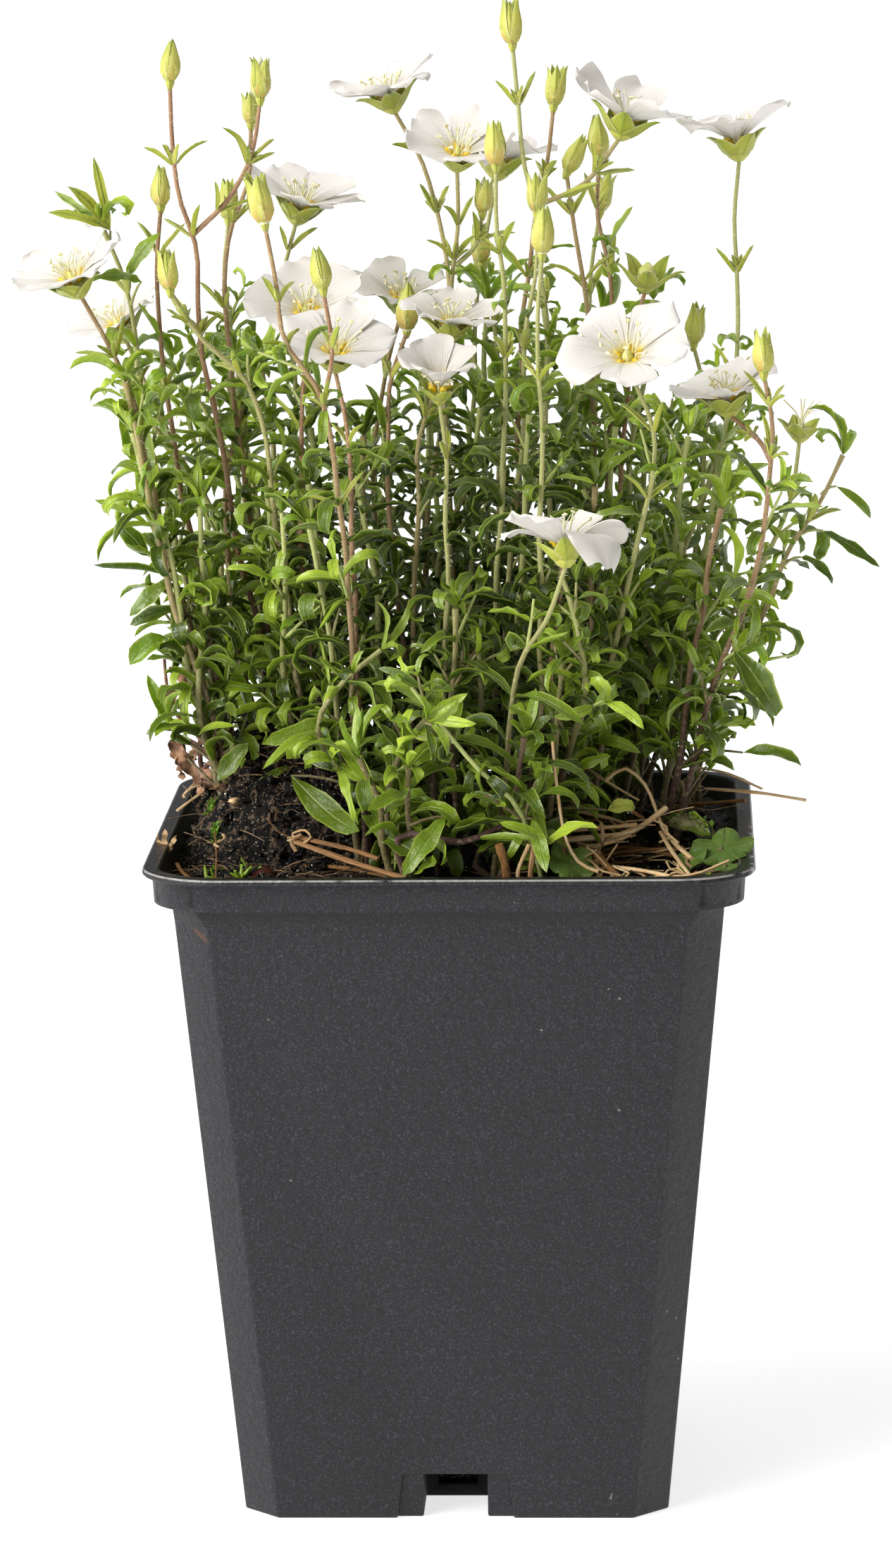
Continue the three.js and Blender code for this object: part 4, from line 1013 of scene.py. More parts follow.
# %% Bracts and extra stems
GENTLE = {"bend": 6, "roll": 12, "tip_curl": 12, "ripple": 0.06, "channel": 0.6}
BRACTS_FROM = 146
MORE_STEMS = 1
AS_IN_THE_SOLIDS = 11
WAYWARD = {
    1: {"path": [(-6, -34, 97), (-7.5, -35, 104), (-0.5, -36.5, 104.6), (4.5, -36.5, 103.4), (9, -35, 106.5)],
        "bright": False, "pink": 0.9},
    2: {"path": [(14, -33, 96), (11, -37, 108), (3.5, -39.5, 117), (-4.8, -40.5, 127.5)],
        "bright": True, "pink": 0.1},
}


def bracts(scales, stem):
    """Pairs of bracts at the joints, and at some of them a ring of four scales more."""
    places, forwards, _ = flow(stem["points"], np.linspace(0, 1, 80))
    for joint in stem["shape"]["path"][:-1]:
        if joint[2] < BRACTS_FROM:
            continue
        at = np.linalg.norm(places - joint, axis=1).argmin()
        turn = stem["turn"] + about(0, 2)
        for half in (0, 1):
            scales.append(leaf_at(places[at], forwards[at], turn, half * math.pi + about(0, 0.5),
                                  length=about(6, 2.6), width=about(1.25, 0.5), elevation=about(52, 24),
                                  curl=about(8, 60), **{**habit(0.9), **GENTLE}))
        if chance.random() < 0.5:
            for k in range(4):
                scales.append(leaf_at(places[at], forwards[at], turn, k * math.pi / 2 + about(0.8, 0.6),
                                      length=about(3.4, 1.6), width=about(0.9, 0.3), elevation=about(66, 24),
                                      curl=about(6, 30), **{**habit(1.0), **GENTLE}))


def wander(points):
    """The same path between the same ends, with a slight bend at every joint."""
    length = flow(points, 3)[2]
    places = flow(points, int(length / 9) + 2)[0]
    places[1:-1] += [[about(0, 1.1), about(0, 1.1), 0] for _ in places[1:-1]]
    return list(places)


def more_stems(clump):
    """Leafy stems that rise near the solids' ones."""
    made = []
    if clump["number"] in WAYWARD:
        wayward = WAYWARD[clump["number"]]
        made.append({**wayward, "points": np.array(wayward["path"], float), "turn": 0.4, "shape": None})
    count = 0 if clump["number"] == AS_IN_THE_SOLIDS else MORE_STEMS + (clump["crown"][0] > 20)
    for _ in range(count):
        start = np.array([*clump["crown"], 0]) + [about(0, 7), about(0, 7), 0]
        start[2] = soil_height(start[0], start[1]) - 1
        height = start[2] + (clump["top"] - start[2]) * about(0.72, 0.5)
        points = [start]
        for part in (0.35, 0.7, 1):
            place = spread_from(clump["crown"], start[2] + (height - start[2]) * part)
            points.append(place + [about(0, 13 * part + 3), about(0, 13 * part + 3), 0])
        if not in_a_flower(flow(points, 12)[0]):
            made.append({"points": points, "turn": chance.random() * math.pi, "shape": None})
    return made


print("wayward stems:", len(WAYWARD))

# %% [markdown]
# A bud stands on its stalk as an egg wrapped in five sepals. Each sepal is a blade that leaves the
# stalk almost level, turns up round the egg and bends in at the top. An open flower's sepals are the
# same blades, spread out under the petals.

# %% Buds and calyces
SEPALS = 5


def stand(axis, turn):
    """The two sideways directions of something that stands on an axis, turned about it in degrees."""
    tilt = Vector(UP).rotation_difference(Vector(axis))
    return [np.array(tilt @ Vector(level(math.radians(angle)))) for angle in (turn, turn + 90)]


def ring_of_sepals(seat, axis, turn, **shape):
    """Five blades; a value that should differ from one to the next is given as a function."""
    across, third = stand(axis, turn)
    sepals = []
    for k in range(SEPALS):
        out = turned(across, third, (k + 0.5) * 2 * math.pi / SEPALS)
        form = {key: (value() if callable(value) else value) for key, value in shape.items()}
        sepals.append({"root": seat + axis * 0.1 + out * 0.2, "up": axis, "out": out, "phase": k, **form})
    return sepals


def grow_bud(growth, seat, axis, size, opening):
    turn = chance.random() * 72
    core = [seat + axis * share * size for share in (0.2, 2.4, 4.4 + 0.8 * opening, 5.2 + 1.4 * opening)]
    grow_rod(growth, core, [(0, 0.6 * size), (0.35, 1.05 * size), (0.75, 0.7 * size), (1, 0.15)], CORE, 8, 6)
    grow_rod(growth, [seat - axis * 0.9, seat + axis], [(0, 0.34), (0.6, 0.75), (1, 0.6)], SEPAL, 8, 4)
    flare = about(102, 64)
    wrap = ring_of_sepals(seat, axis, turn, length=lambda: about(7.1, 1.0) * size, width=3.0 * size,
                          elevation=34, curl=lambda: about(-152, 8), tip_curl=lambda: about(flare, 34),
                          channel=0.55, roll=lambda: about(0, 16), tint=lambda: about(0.75, 0.5))
    grow_blades(growth, wrap, SEPAL_OUTLINE, SEPAL, 8, 8, thick=0.18 * size, downy=12)


def grow_calyx(growth, seat, axis, turn, size, spread=1.0):
    cup = [seat - axis * 0.3, seat + axis * 1.0 * size, seat + axis * 2.6 * size]
    grow_rod(growth, cup, [(0, 0.6), (0.3, 1.8 * size), (1, 2.4 * size)], SEPAL, 12, 6, tint=0.6)
    spreading = ring_of_sepals(seat, axis, turn, length=lambda: about(7.2, 0.7) * size * spread,
                               width=4.3 * size, elevation=lambda: about(16, 5),
                               curl=lambda: about(-98, 12), tip_curl=lambda: about(112, 34),
                               channel=0.35, roll=lambda: about(0, 16), tint=lambda: about(0.15, 0.5))
    grow_blades(growth, spreading, SEPAL_OUTLINE, SEPAL, 8, 8, thick=0.2 * size, downy=12)


print("sepals to a flower:", SEPALS)

# %% [markdown]
# Some leaves stand out in the picture: broad old ones low down, and long ones that hang clear of the
# plant. Each is listed by its root, its tip, its width, how much it arches and how young it is. It
# gets a short twig from the nearest stem, so that it hangs on something.

# %% Leaves that stand out
LOOSE_LEAVES = [
    ((42, -18, 129), (48.6, -20, 119.4), 4.2, 30, 0.3),
    ((57.5, -2, 151.3), (63.2, -2, 146.6), 1.5, 50, 0.6),
    ((55.5, -2, 144.6), (63.5, -4, 139), 1.9, 40, 0.4),
    ((52.2, -4, 140.9), (57.4, -6, 137.1), 1.5, 90, 0.5),
    ((43.4, -10, 112.3), (52.4, -12, 111.6), 2.2, 40, 0.3),
    ((-49, -4, 164.7), (-44.6, -6, 153.8), 4.6, -110, 0.8),
    ((-45.8, -4, 141.6), (-50.3, -4, 146.3), 3.0, 30, 0.6),
    ((-43, -6, 129.6), (-48.8, -7, 126), 3.3, 30, 0.9),
    ((-42.6, -4, 115.3), (-46.6, -4, 123.2), 2.0, 30, 0.9),
    ((-41.8, -8, 138.8), (-48.1, -9, 133.4), 2.5, 36, 0.6),
    ((-41.1, -7, 134), (-47.9, -8, 131.2), 2.4, 50, 0.5),
    ((-13.9, -20, 118.6), (-27.3, -24, 115.9), 3.6, 36, 0.55),
    ((-0.2, -38, 108), (-5.7, -44.6, 100.5), 3.2, 12, 0.7),
    ((-23.9, -18, 110.5), (-13.7, -30, 103.4), 4.2, -30, 0.35),
    ((12.4, -38, 107.6), (14.9, -43.6, 100.6), 2.3, 10, 0.75),
    ((-30.4, -15, 114.8), (-34.8, -16, 109.4), 2.9, 20, 0.3),
    ((-24.2, -10, 110.5), (-30.5, -12, 106.2), 1.6, 70, 0.6),
    ((-48.5, 0, 183.3), (-43.6, 0, 190.1), 2.4, 20, 0.9),
    ((-46.2, -2, 182.7), (-53.9, -2, 183.2), 2.2, 70, 0.9),
    ((-51, 2, 190), (-53.5, 2, 201.1), 1.7, 20, 1.2), ((-51, 2, 190), (-56.6, 0, 197.2), 2.2, 20, 1.2),
    ((-51, 2, 190), (-60, 0, 192.7), 1.8, 50, 1.1), ((-10.5, -32, 104.5), (-3, -38, 101.4), 3.4, 10, 0.3),
    ((23.2, -24, 106.2), (27.4, -24, 106.9), 2.8, 10, 1.9),
    ((33.5, -14, 103), (38, -19, 101.8), 3.2, 10, 0.2),
]


def hang_loose_leaves():
    """Sorts the listed leaves by the clump whose stem is nearest, with the twig that each needs."""
    rows = [(clump["number"], place) for clump in clumps for stem in clump["stems"]
            for place in flow(stem["points"], 40)[0]]
    places = np.array([place for _, place in rows])
    hung = {}
    for root, tip, width, arch, young in LOOSE_LEAVES:
        root, tip = np.array(root, float), np.array(tip, float)
        number, foot = rows[np.linalg.norm(places - (root - UP * 2), axis=1).argmin()]
        twig = [foot, (foot + root) / 2 + UP * 0.4, root]
        out = unit(tip - root)
        leaf = {"root": root, "up": square_to(out, np.array([0, -0.75, 0.65])), "out": out, "width": width,
                "length": np.linalg.norm(tip - root) * (1 + abs(arch) / 900), "elevation": arch / 2,
                "curl": arch, **habit(0.5), "roll": about(0, 34), "bend": about(0, 24),
                "tip_curl": about(10, 50), "ripple": about(0.13, 0.1) * width, "tint": about(0.3, 0.5),
                "young": young - 0.15}
        hung.setdefault(number, []).append((twig, leaf))
    return hung


loose_leaves = hang_loose_leaves()
print("leaves that stand out:", len(LOOSE_LEAVES))

# %% [markdown]
# Now each clump can be put together. Its stems are rods with a small swelling at every pair of
# leaves. First come the pairs that the solids have, then those between them. A flower stalk has
# bracts and something at its end; a leafy stem ends in a tuft of four leaves.

# %% The parts of a clump
STEM_SWELL = 1.35
DOWNY_FROM = 142
NARROWER = 0.72
LEAFY_TO_MIDDLE, LEAFY_TO_SIDES = 186, 174


def stem_radius(stem, length):
    """Thinner towards the top, swollen at the nodes."""
    low, high = (0.6, 0.42) if stem["shape"] is None else (0.56, 0.34)
    if stem.get("bright") or "fork" in (stem["shape"] or {}):
        low, high = 0.4, 0.32
    pairs = [(share, low + (high - low) * share) for share in np.linspace(0, 1, 25)]
    for along, _ in stem.get("pairs", []):
        plain = low + (high - low) * along
        pairs += [(along - 1.2 / length, plain), (along, plain * STEM_SWELL), (along + 0.8 / length, plain)]
    return sorted(pairs)


def grow_stem(growth, stem, length):
    shape, bright = stem["shape"], stem.get("bright", False)
    if shape is None:
        reddish = stem.get("pink", 0.8 * chance.random())
    else:
        reddish = shape.get("pink", about(0.62, 0.8))
    radius = stem_radius(stem, length)
    grow_rod(growth, stem["points"], radius, STEM, 6, max(10, int(length / 3)), tint=reddish,
             young=1.0 if bright else 0.8 if shape is None else 0.4)
    down_along(growth, stem["points"], radius, DOWNY_FROM)


def pair_leaves(stem):
    """The leaves that the solids have too, made narrower."""
    blades = []
    for along, leaves in stem.get("pairs", []):
        place, forward, _ = flow(stem["points"], [along])
        for leaf in leaves:
            angle = leaf["face"] * math.pi / 2 + math.radians(leaf["aside"])
            form = {key: leaf[key] for key in ("length", "elevation", "curl")}
            blades.append(leaf_at(place[0], forward[0], stem["turn"], angle, width=leaf["width"] * NARROWER,
                                  **form, **{**habit(age_at(place[0])), "roll": leaf["roll"]}))
    return blades


def more_leaves(blades, rods, stem, places):
    """Clothes a stem as far up as its leaves reach."""
    if stem["shape"] is None:
        clothe(blades, rods, stem, 0.1, 0.99, 1.0)
    elif "fork" not in stem["shape"]:
        leafy_to = LEAFY_TO_MIDDLE if -8 < places[-1][0] < 42 else LEAFY_TO_SIDES
        share = (leafy_to - places[0][2]) / (places[-1][2] - places[0][2])
        clothe(blades, rods, stem, 0.12, min(0.84, share), 0.85)


def tuft(stem, top, forward):
    age = 0.9 if top[2] > 112 else 0.3
    return [leaf_at(top, forward, stem["turn"], k * math.pi / 2 + about(0.8, 0.5),
                    length=about(7, 4), width=about(1.5, 0.5), elevation=about(64, 30),
                    curl=about(20, 50), **habit(age)) for k in range(4)]


def grow_end(growth, stem):
    """A bud, a calyx under its petals, an open calyx, or one with its stamens left."""
    shape = stem["shape"]
    seat, axis, size = stem["points"][-1], facing(shape["lean"]), shape.get("size", 1)
    if shape.get("open"):
        grow_calyx(growth, seat, axis, 20, 0.8 * size, 1.25)
        grow_rod(growth, [seat + axis, seat + axis * 4.4], [(0, 1.2), (0.6, 1.5), (1, 0.3)], OVARY, 8, 6)
    elif shape["end"] == "bud":
        grow_bud(growth, seat, axis, size, opening=chance.random())
    elif shape["end"] == "spent":
        grow_calyx(growth, seat, axis, 0, 0.8 * size, 0.85)
        for _ in range(7):
            way = unit(axis + [about(0, 1.4), about(0, 1.4), 0])
            end = seat + axis * 2 + way * about(5, 2)
            grow_rod(growth, [seat + axis, seat + axis * 3 + way, end], 0.12, ANTHER, 4, 5)
    else:
        grow_calyx(growth, seat, axis, shape.get("turn", 0), size * shape.get("calyx", 1))


print("stems are downy above", DOWNY_FROM, "mm")

# %% [markdown]
# One clump is one piece, in place of one solid. Leaves that don't fit are left out at the end, when
# all of them have been thought of. The short ones get coarser templates, because nobody sees their
# rings, and the highest of them get down along their edges.

# %% The leafy clumps
SHORT_LEAF = 6
DOWNY_LEAF_FROM = 154


def grow_clump(clump):
    chance.seed(clump["number"])
    growth = Growth()
    blades, rods, scales = [], [], []
    crown = start_of(clump["crown"])
    thick = clump["radius"]
    grow_rod(growth, [crown - UP * 6.9, crown - UP * 2, crown + UP * 0.6],
             [(0, thick), (0.75, thick * 0.8), (0.92, thick * 0.55), (1, 0.3)], CROWN_WOOD, 9, 7)
    stems = clump["stems"] + more_stems(clump)
    for stem in [{**stem, "points": wander(stem["points"])} for stem in stems]:
        shape = stem["shape"]
        places, forwards, length = flow(stem["points"], 9)
        grow_stem(growth, stem, length)
        blades += pair_leaves(stem)
        more_leaves(blades, rods, stem, places)
        if shape is not None:
            bracts(scales, stem)
        if shape is None or shape["end"] == "tuft":
            blades += tuft(stem, places[-1], forwards[-1])
        else:
            grow_end(growth, stem)
    kept = [blade for blade in blades if fits(blade)]
    scales = [{**blade, "tint": blade["tint"] * 0.5} for blade in scales if fits(blade)]
    for twig, leaf in loose_leaves.get(clump["number"], []):
        rods.append((twig, 0.28, 0.5))
        (scales if leaf["young"] > 0.95 else kept).append(leaf)
    for points, radius, age in rods:
        grow_rod(growth, points, [(0, radius), (1, radius * 0.6)], STEM, 5, 3, tint=0.2, young=age)
    large = [blade for blade in kept if blade["length"] > SHORT_LEAF]
    small = [blade for blade in kept if blade["length"] <= SHORT_LEAF]
    high = [blade for blade in small if blade["root"][2] > DOWNY_LEAF_FROM]
    low = [blade for blade in small if blade["root"][2] <= DOWNY_LEAF_FROM]
    grow_blades(growth, large, LEAF_OUTLINE, LEAF, 8, 8)
    grow_blades(growth, low, LEAF_OUTLINE, LEAF, 6, 6)
    grow_blades(growth, high, LEAF_OUTLINE, LEAF, 6, 6, downy=8)
    grow_blades(growth, scales, LEAF_OUTLINE, SEPAL, 6, 7, downy=8)
    name = f"leafy_clump_{clump['number']:02d}"
    return growth.piece("grown_" + name, name, slot="foliage"), len(kept)


leaf_count = 0
for clump in clumps:
    grown, kept = grow_clump(clump)
    leaf_count += kept
    report(grown)
print("leaves in all:", leaf_count)

# %% [markdown]
# A petal is a thin sheet: a grid given thickness by one operator, which is then laid on the flower's
# bowl. It is narrow at the throat and broad towards its end, its outer edge is pulled back at the
# corners, and one side lies over the next petal. Stamens and three styles stand in the middle.

# %% Petals
PETALS = 5
PETAL_HALF_WIDTH = 4.6
PETAL_OUTLINE = [(0, 0.24), (0.15, 0.4), (0.35, 0.66), (0.55, 0.88), (0.7, 0.96), (0.8, 0.93), (0.9, 0.78),
                 (1, 0.46)]
DROOP = {(1, 4): 6.0, (1, 0): 2.0}  # two petals of the first flower hang down


def sheet_template():
    sheet = bmesh.new()
    bmesh.ops.create_grid(sheet, x_segments=12, y_segments=14, size=1)
    bmesh.ops.solidify(sheet, geom=sheet.faces[:], thickness=0.1)
    face_outwards(sheet)
    return Template(sheet)


SHEET = sheet_template()


def grow_petal(growth, flower, k, droop):
    """Adds the petal k: half is half its width, pulled is how far along it each point comes to lie."""
    out = turned(*stand(flower["axis"], flower["turn"] + about(0, 13)), k * 2 * math.pi / PETALS)
    side = np.cross(out, flower["axis"])
    size = flower["size"]
    u, v = SHEET.points[:, 0], (SHEET.points[:, 1] + 1) / 2
    upper = SHEET.points[:, 2] > SHEET.points[:, 2].mean()
    half = about(PETAL_HALF_WIDTH, 1.6) * np.interp(v, *zip(*PETAL_OUTLINE))
    reach = about(9.4, 1.3)
    pulled = v - 0.13 * abs(u) ** 2.6 * v**3 - 0.03 * np.exp(-(u / 0.2)**2) * v**8
    away = 0.9 + (reach - 0.9) * pulled
    aside = half * u
    share = np.hypot(away, aside) / FLOWER_REACH
    high = 1.8 + (flower["rise"] * FLOWER_REACH + 1.4) * share**0.66
    high += 0.6 * u * v + about(0.1, 1.8) * u**2 * v**2 - about(0.3, 2.6) * v**4 - droop * v**2.2
    high += 0.45 * v * abs(u) * np.sin(6 * v + about(0, 6))
    high += about(0.4, 0.4) * v**4 * np.sin(5 * u + about(0, 6))
    away = away - 0.25 * droop * v**3
    high += upper * 0.13
    points = away[:, None] * out + aside[:, None] * side + high[:, None] * flower["axis"]
    points = flower["seat"] + size * points
    growth.add(SHEET, points[None], PETAL, u, v, tint=chance.random(), young=upper)


def grow_heart(growth, flower):
    """The ovary with its styles, the yellow glands round it and ten stamens."""
    axis, size = flower["axis"], flower["size"]
    sideways = stand(axis, flower["turn"])
    middle = flower["seat"] + axis * 2.6 * size
    ovary = [middle - axis * 0.6 * size, middle + axis * 0.6 * size, middle + axis * 1.7 * size]
    grow_rod(growth, ovary, [(0, 0.8 * size), (0.5, 0.85 * size), (1, 0.2)], OVARY, 8, 5)
    for k in range(10):
        out = turned(*sideways, (k + about(0, 0.5)) * 2 * math.pi / 10)
        foot = middle + out * 1.1 * size
        if k % 2:
            gland = [foot + out * 0.1, foot + axis * 0.7 + out * 0.4, foot + axis * 0.9 + out * 1.0]
            grow_rod(growth, gland, [(0, 0.35), (0.5, 0.5), (1, 0.3)], NECTAR, 6, 3)
        lean = about(1.9, 2.4) * size
        top = foot + axis * about(3.7, 1.2) * size + out * lean
        grow_rod(growth, [foot, foot + axis * 2.2 * size + out * lean * 0.35, top], 0.11, CORE, 4, 4)
        end = unit(np.cross(out, axis) + axis * about(0, 1.6)) * 0.42
        grow_rod(growth, [top - end, top + end], [(0, 0.14), (0.5, 0.26), (1, 0.14)], ANTHER, 5, 2)
    for k in range(3):
        out = turned(*sideways, (k + 0.2) * 2 * math.pi / 3)
        style = [middle + axis * 1.4 * size, middle + (axis * 3.0 + out * 0.5) * size,
                 middle + (axis * 4.4 + out * 1.7) * size]
        grow_rod(growth, style, [(0, 0.14), (1, 0.08)], CORE, 4, 4)


for number, flower in enumerate(flowers, 1):
    chance.seed(number)
    growth = Growth()
    for k in range(PETALS):
        grow_petal(growth, flower, k, DROOP.get((number, k), 0))
    grow_heart(growth, flower)
    report(growth.piece(f"petals_{number:02d}", f"flower_{number:02d}", slot="petals"))

# %% [markdown]
# The pot is blow-formed plastic with a rolled rim. Its body is taken from the solid: a copy is
# merged, cut off just inside the rim's band, closed, and its edges are softened. The band and lip are
# made again from rounded squares with many more steps at the corners, joined loop by loop.

# %% The pot
BODY_CUT = 0.0954
RIM = [(43.3, 10.3, 94.8), (43.55, 10.6, 98.6), (44.8, 11.8, 98.9), (45.0, 12.0, 99.1), (45.0, 12.0, 99.45),
       (44.95, 11.95, 99.67), (44.83, 11.83, 99.84), (44.66, 11.66, 99.95), (44.4, 11.4, 100.0),
       (42.7, 9.7, 99.9), (42.4, 9.4, 99.6), (42.4, 9.4, 95.8), (39.3, 6.3, 95.7), (39.3, 6.3, 94.8)]


def merged_copy(node):
    """A copy of a solid's mesh, with its doubled points merged and its flat faces made whole."""
    shape = bmesh.new()
    shape.from_mesh(frame["nodes"][node].data)
    bmesh.ops.remove_doubles(shape, verts=shape.verts[:], dist=1e-6)
    bmesh.ops.dissolve_limit(shape, angle_limit=math.radians(0.5), verts=shape.verts[:], edges=shape.edges[:])
    return shape


def cut_away(shape, place, direction, near=1e-7):
    """Removes what lies past a plane."""
    bmesh.ops.bisect_plane(shape, geom=shape.verts[:] + shape.edges[:] + shape.faces[:], dist=near,
                           plane_co=place, plane_no=direction, clear_outer=True)


def open_edges(shape):
    return [edge for edge in shape.edges if edge.is_boundary]


def soften(shape, offset, segments, least=20):
    """Bevels every edge that turns by more than a number of degrees."""
    edges = [edge for edge in shape.edges
             if len(edge.link_faces) == 2 and edge.calc_face_angle(0) > math.radians(least)]
    bmesh.ops.bevel(shape, geom=edges, offset=offset, segments=segments, profile=0.5, affect="EDGES",
                    clamp_overlap=True, material=-1)


def pot_body():
    shape = merged_copy("pot")
    cut_away(shape, (0, 0, BODY_CUT), (0, 0, 1))
    bmesh.ops.bridge_loops(shape, edges=open_edges(shape))
    soften(shape, 0.0004, 2)
    return shape


def rounded_square(shape, half, corner, height):
    """Adds a loop of edges, and gives them back."""
    plate = bmesh.ops.create_grid(shape, x_segments=1, y_segments=1, size=half * MM)
    bmesh.ops.translate(shape, verts=plate["verts"], vec=(0, 0, height * MM))
    made = bmesh.ops.bevel(shape, geom=plate["verts"], offset=corner * MM, segments=14, profile=0.5,
                           affect="VERTICES", material=-1)
    faces = {face for vert in made["verts"] for face in vert.link_faces}
    edges = [edge for face in faces for edge in face.edges]
    bmesh.ops.delete(shape, geom=list(faces), context="FACES_ONLY")
    return edges


def pot_rim():
    shape = bmesh.new()
    loops = [rounded_square(shape, *ring) for ring in RIM]
    for first, second in zip(loops, loops[1:] + loops[:1]):
        bmesh.ops.bridge_loops(shape, edges=first + second)
    face_outwards(shape)
    return shape


print("the rim has", len(RIM), "loops")

# %% [markdown]
# The plastic is nearly black, with a fine grain and pale specks of its recycled granules. Masks made
# from the place on the pot add specks of dust, a painted highlight along the lip, painted glints at
# its right end, painted shadow under the band, painted shade inside the pot, a brown smudge, and
# painted shade in the drain slot in the foot.

# %% The pot's plastic
def pot_finish():
    plastic = Finish("pot_plastic", Coat_Weight=0.0, Specular_IOR_Level=0.45)
    x, y, z = plastic.axes()
    grain = plastic.noise(900, 5)
    specks = plastic.noise(3200, 2).rising(0.5, 0.72)
    dust = plastic.noise(700, 1).rising(0.80, 0.82)
    lip = z.rising(0.0993, 0.0999)
    # painted highlight: a broken light line along the lip's rounded top edge
    painted_lip_highlight = z.rising(0.09958, 0.09970) * z.falling(0.09984, 0.09992) * plastic.noise(180).rising(0.3, 0.5)
    # painted glints: light patches on the right end of the lip
    painted_lip_glints = x.rising(0.0440, 0.0446) * y.falling(-0.012, 0.004) * z.rising(0.0984, 0.0988)
    painted_lip_glints = painted_lip_glints * plastic.noise(260, 2).rising(0.48, 0.56)
    cut_corners = (abs(x) + abs(y)).falling(0.0795, 0.0802)

    def within_walls(low, high):
        return abs(x).falling(low, high) * abs(y).falling(low, high) * cut_corners

    # painted shadow: darker plastic just under the band
    painted_band_shadow = within_walls(0.0418, 0.0424) * z.rising(0.0925, 0.0946)
    # painted shade: near-black plastic on the pot's inner walls above the soil
    painted_shade_in_pot = within_walls(0.0425, 0.0428) * z.rising(0.0952, 0.0956)
    smudge = abs(x + z - 0.0545).falling(0.0002, 0.0008) * abs(z - 0.0906).falling(0.0003, 0.0012)
    smudge = smudge * y.falling(-0.03, -0.02)
    # painted shade: the recess of the drain slot in the foot is darkened to near black
    slot = abs(x).falling(0.0045, 0.0050) * y.rising(-0.0316, -0.0300) * z.falling(0.0068, 0.0074)
    colour = plastic.layers(
        plastic.mix(plastic.noise(55, 4), shade(0x0f0f13), shade(0x141418)),
        (specks * 0.42, 0x4e4e55), (dust * 0.7, 0x8b8274), (painted_lip_highlight * 0.6, 0xc4beb8),
        (painted_lip_glints * 0.7, 0xd6d4d2), (painted_band_shadow * 0.7, 0x050507), (painted_shade_in_pot * 0.9, 0x040405),
        (smudge * 0.35, 0x7a4a28), (slot * 0.9, 0x060606))
    roughness = 0.44 + 0.16 * grain - 0.3 * lip + 0.3 * painted_shade_in_pot + 0.4 * slot
    return plastic.wear(colour, roughness, grain, 0.0003)


def joined_piece(name, shapes, finish, *nodes, slot, sharp=30):
    """Puts several closed shapes into one piece."""
    whole = bmesh.new()
    for shape in shapes:
        part = bpy.data.meshes.new("part")
        shape.to_mesh(part)
        shape.free()
        whole.from_mesh(part)
        bpy.data.meshes.remove(part)
    mesh = bpy.data.meshes.new(name)
    for face in whole.faces:
        face.smooth = True
    whole.to_mesh(mesh)
    whole.free()
    mesh.set_sharp_from_angle(angle=math.radians(sharp))
    mesh.materials.append(finish)
    return settle(bpy.data.objects.new(name, mesh), *nodes, slot=slot)


report(joined_piece("pot_moulded", [pot_body(), pot_rim()], pot_finish(), "pot", slot="pot_plastic"))

# %% [markdown]
# The soil is peat: dark, lumpy and full of crumbs. Below the rim nothing of it shows, so a copy of
# the solid is kept up to there. Above it a fine grid follows the same heights, with noise for the
# crumbs, and is closed down to the cut.

# %% The soil
SOIL_CUT = 86.0
SOIL_CELLS = 170
LEDGE = 95.3
SOIL_HALF = 42.0
SOIL_HALF_BELOW = 38.9
CORNER_AT = 39.4


def crumbly(x, y):
    """The solid's height with two sizes of crumbs on it, in millimetres."""
    place = Vector((x, y, 0))
    lumps = noise.fractal(place * 0.22, 0.9, 2.1, 5) * 1.5
    crumbs = abs(noise.noise(place * 0.9)) * 1.2 + abs(noise.noise(place * 2.3)) * 1.2
    at_wall = clamp((max(abs(x), abs(y)) - 35) / 5)
    height = soil_height(x, y) + root_ball(x, y) * (1 - 0.25 * at_wall) - 0.9
    return max(height, LEDGE + 0.4 - at_wall * 0.4) + (lumps + crumbs) * (1 - 0.3 * at_wall)


def soil_top():
    shape = bmesh.new()
    bmesh.ops.create_grid(shape, x_segments=SOIL_CELLS, y_segments=SOIL_CELLS, size=SOIL_HALF)
    for x, y in ((1, 1), (1, -1), (-1, 1), (-1, -1)):
        cut_away(shape, (x * CORNER_AT, y * CORNER_AT, 0), (x, y, 0), 1e-5)
    for vert in shape.verts:
        vert.co.z = crumbly(vert.co.x, vert.co.y)
    for narrower, height in ((1, LEDGE), (SOIL_HALF_BELOW / SOIL_HALF, LEDGE), (1, SOIL_CUT)):
        wall = bmesh.ops.extrude_edge_only(shape, edges=open_edges(shape))["geom"]
        moved = [part for part in wall if isinstance(part, bmesh.types.BMVert)]
        bmesh.ops.scale(shape, verts=moved, vec=(narrower, narrower, 1))
        for vert in moved:
            vert.co.z = height
    bmesh.ops.contextual_create(shape, geom=open_edges(shape))
    bmesh.ops.scale(shape, verts=shape.verts[:], vec=(MM, MM, MM))
    face_outwards(shape)
    return shape


def soil_below():
    shape = merged_copy("soil")
    cut_away(shape, (0, 0, SOIL_CUT * MM), (0, 0, 1))
    bmesh.ops.holes_fill(shape, edges=open_edges(shape))
    return shape


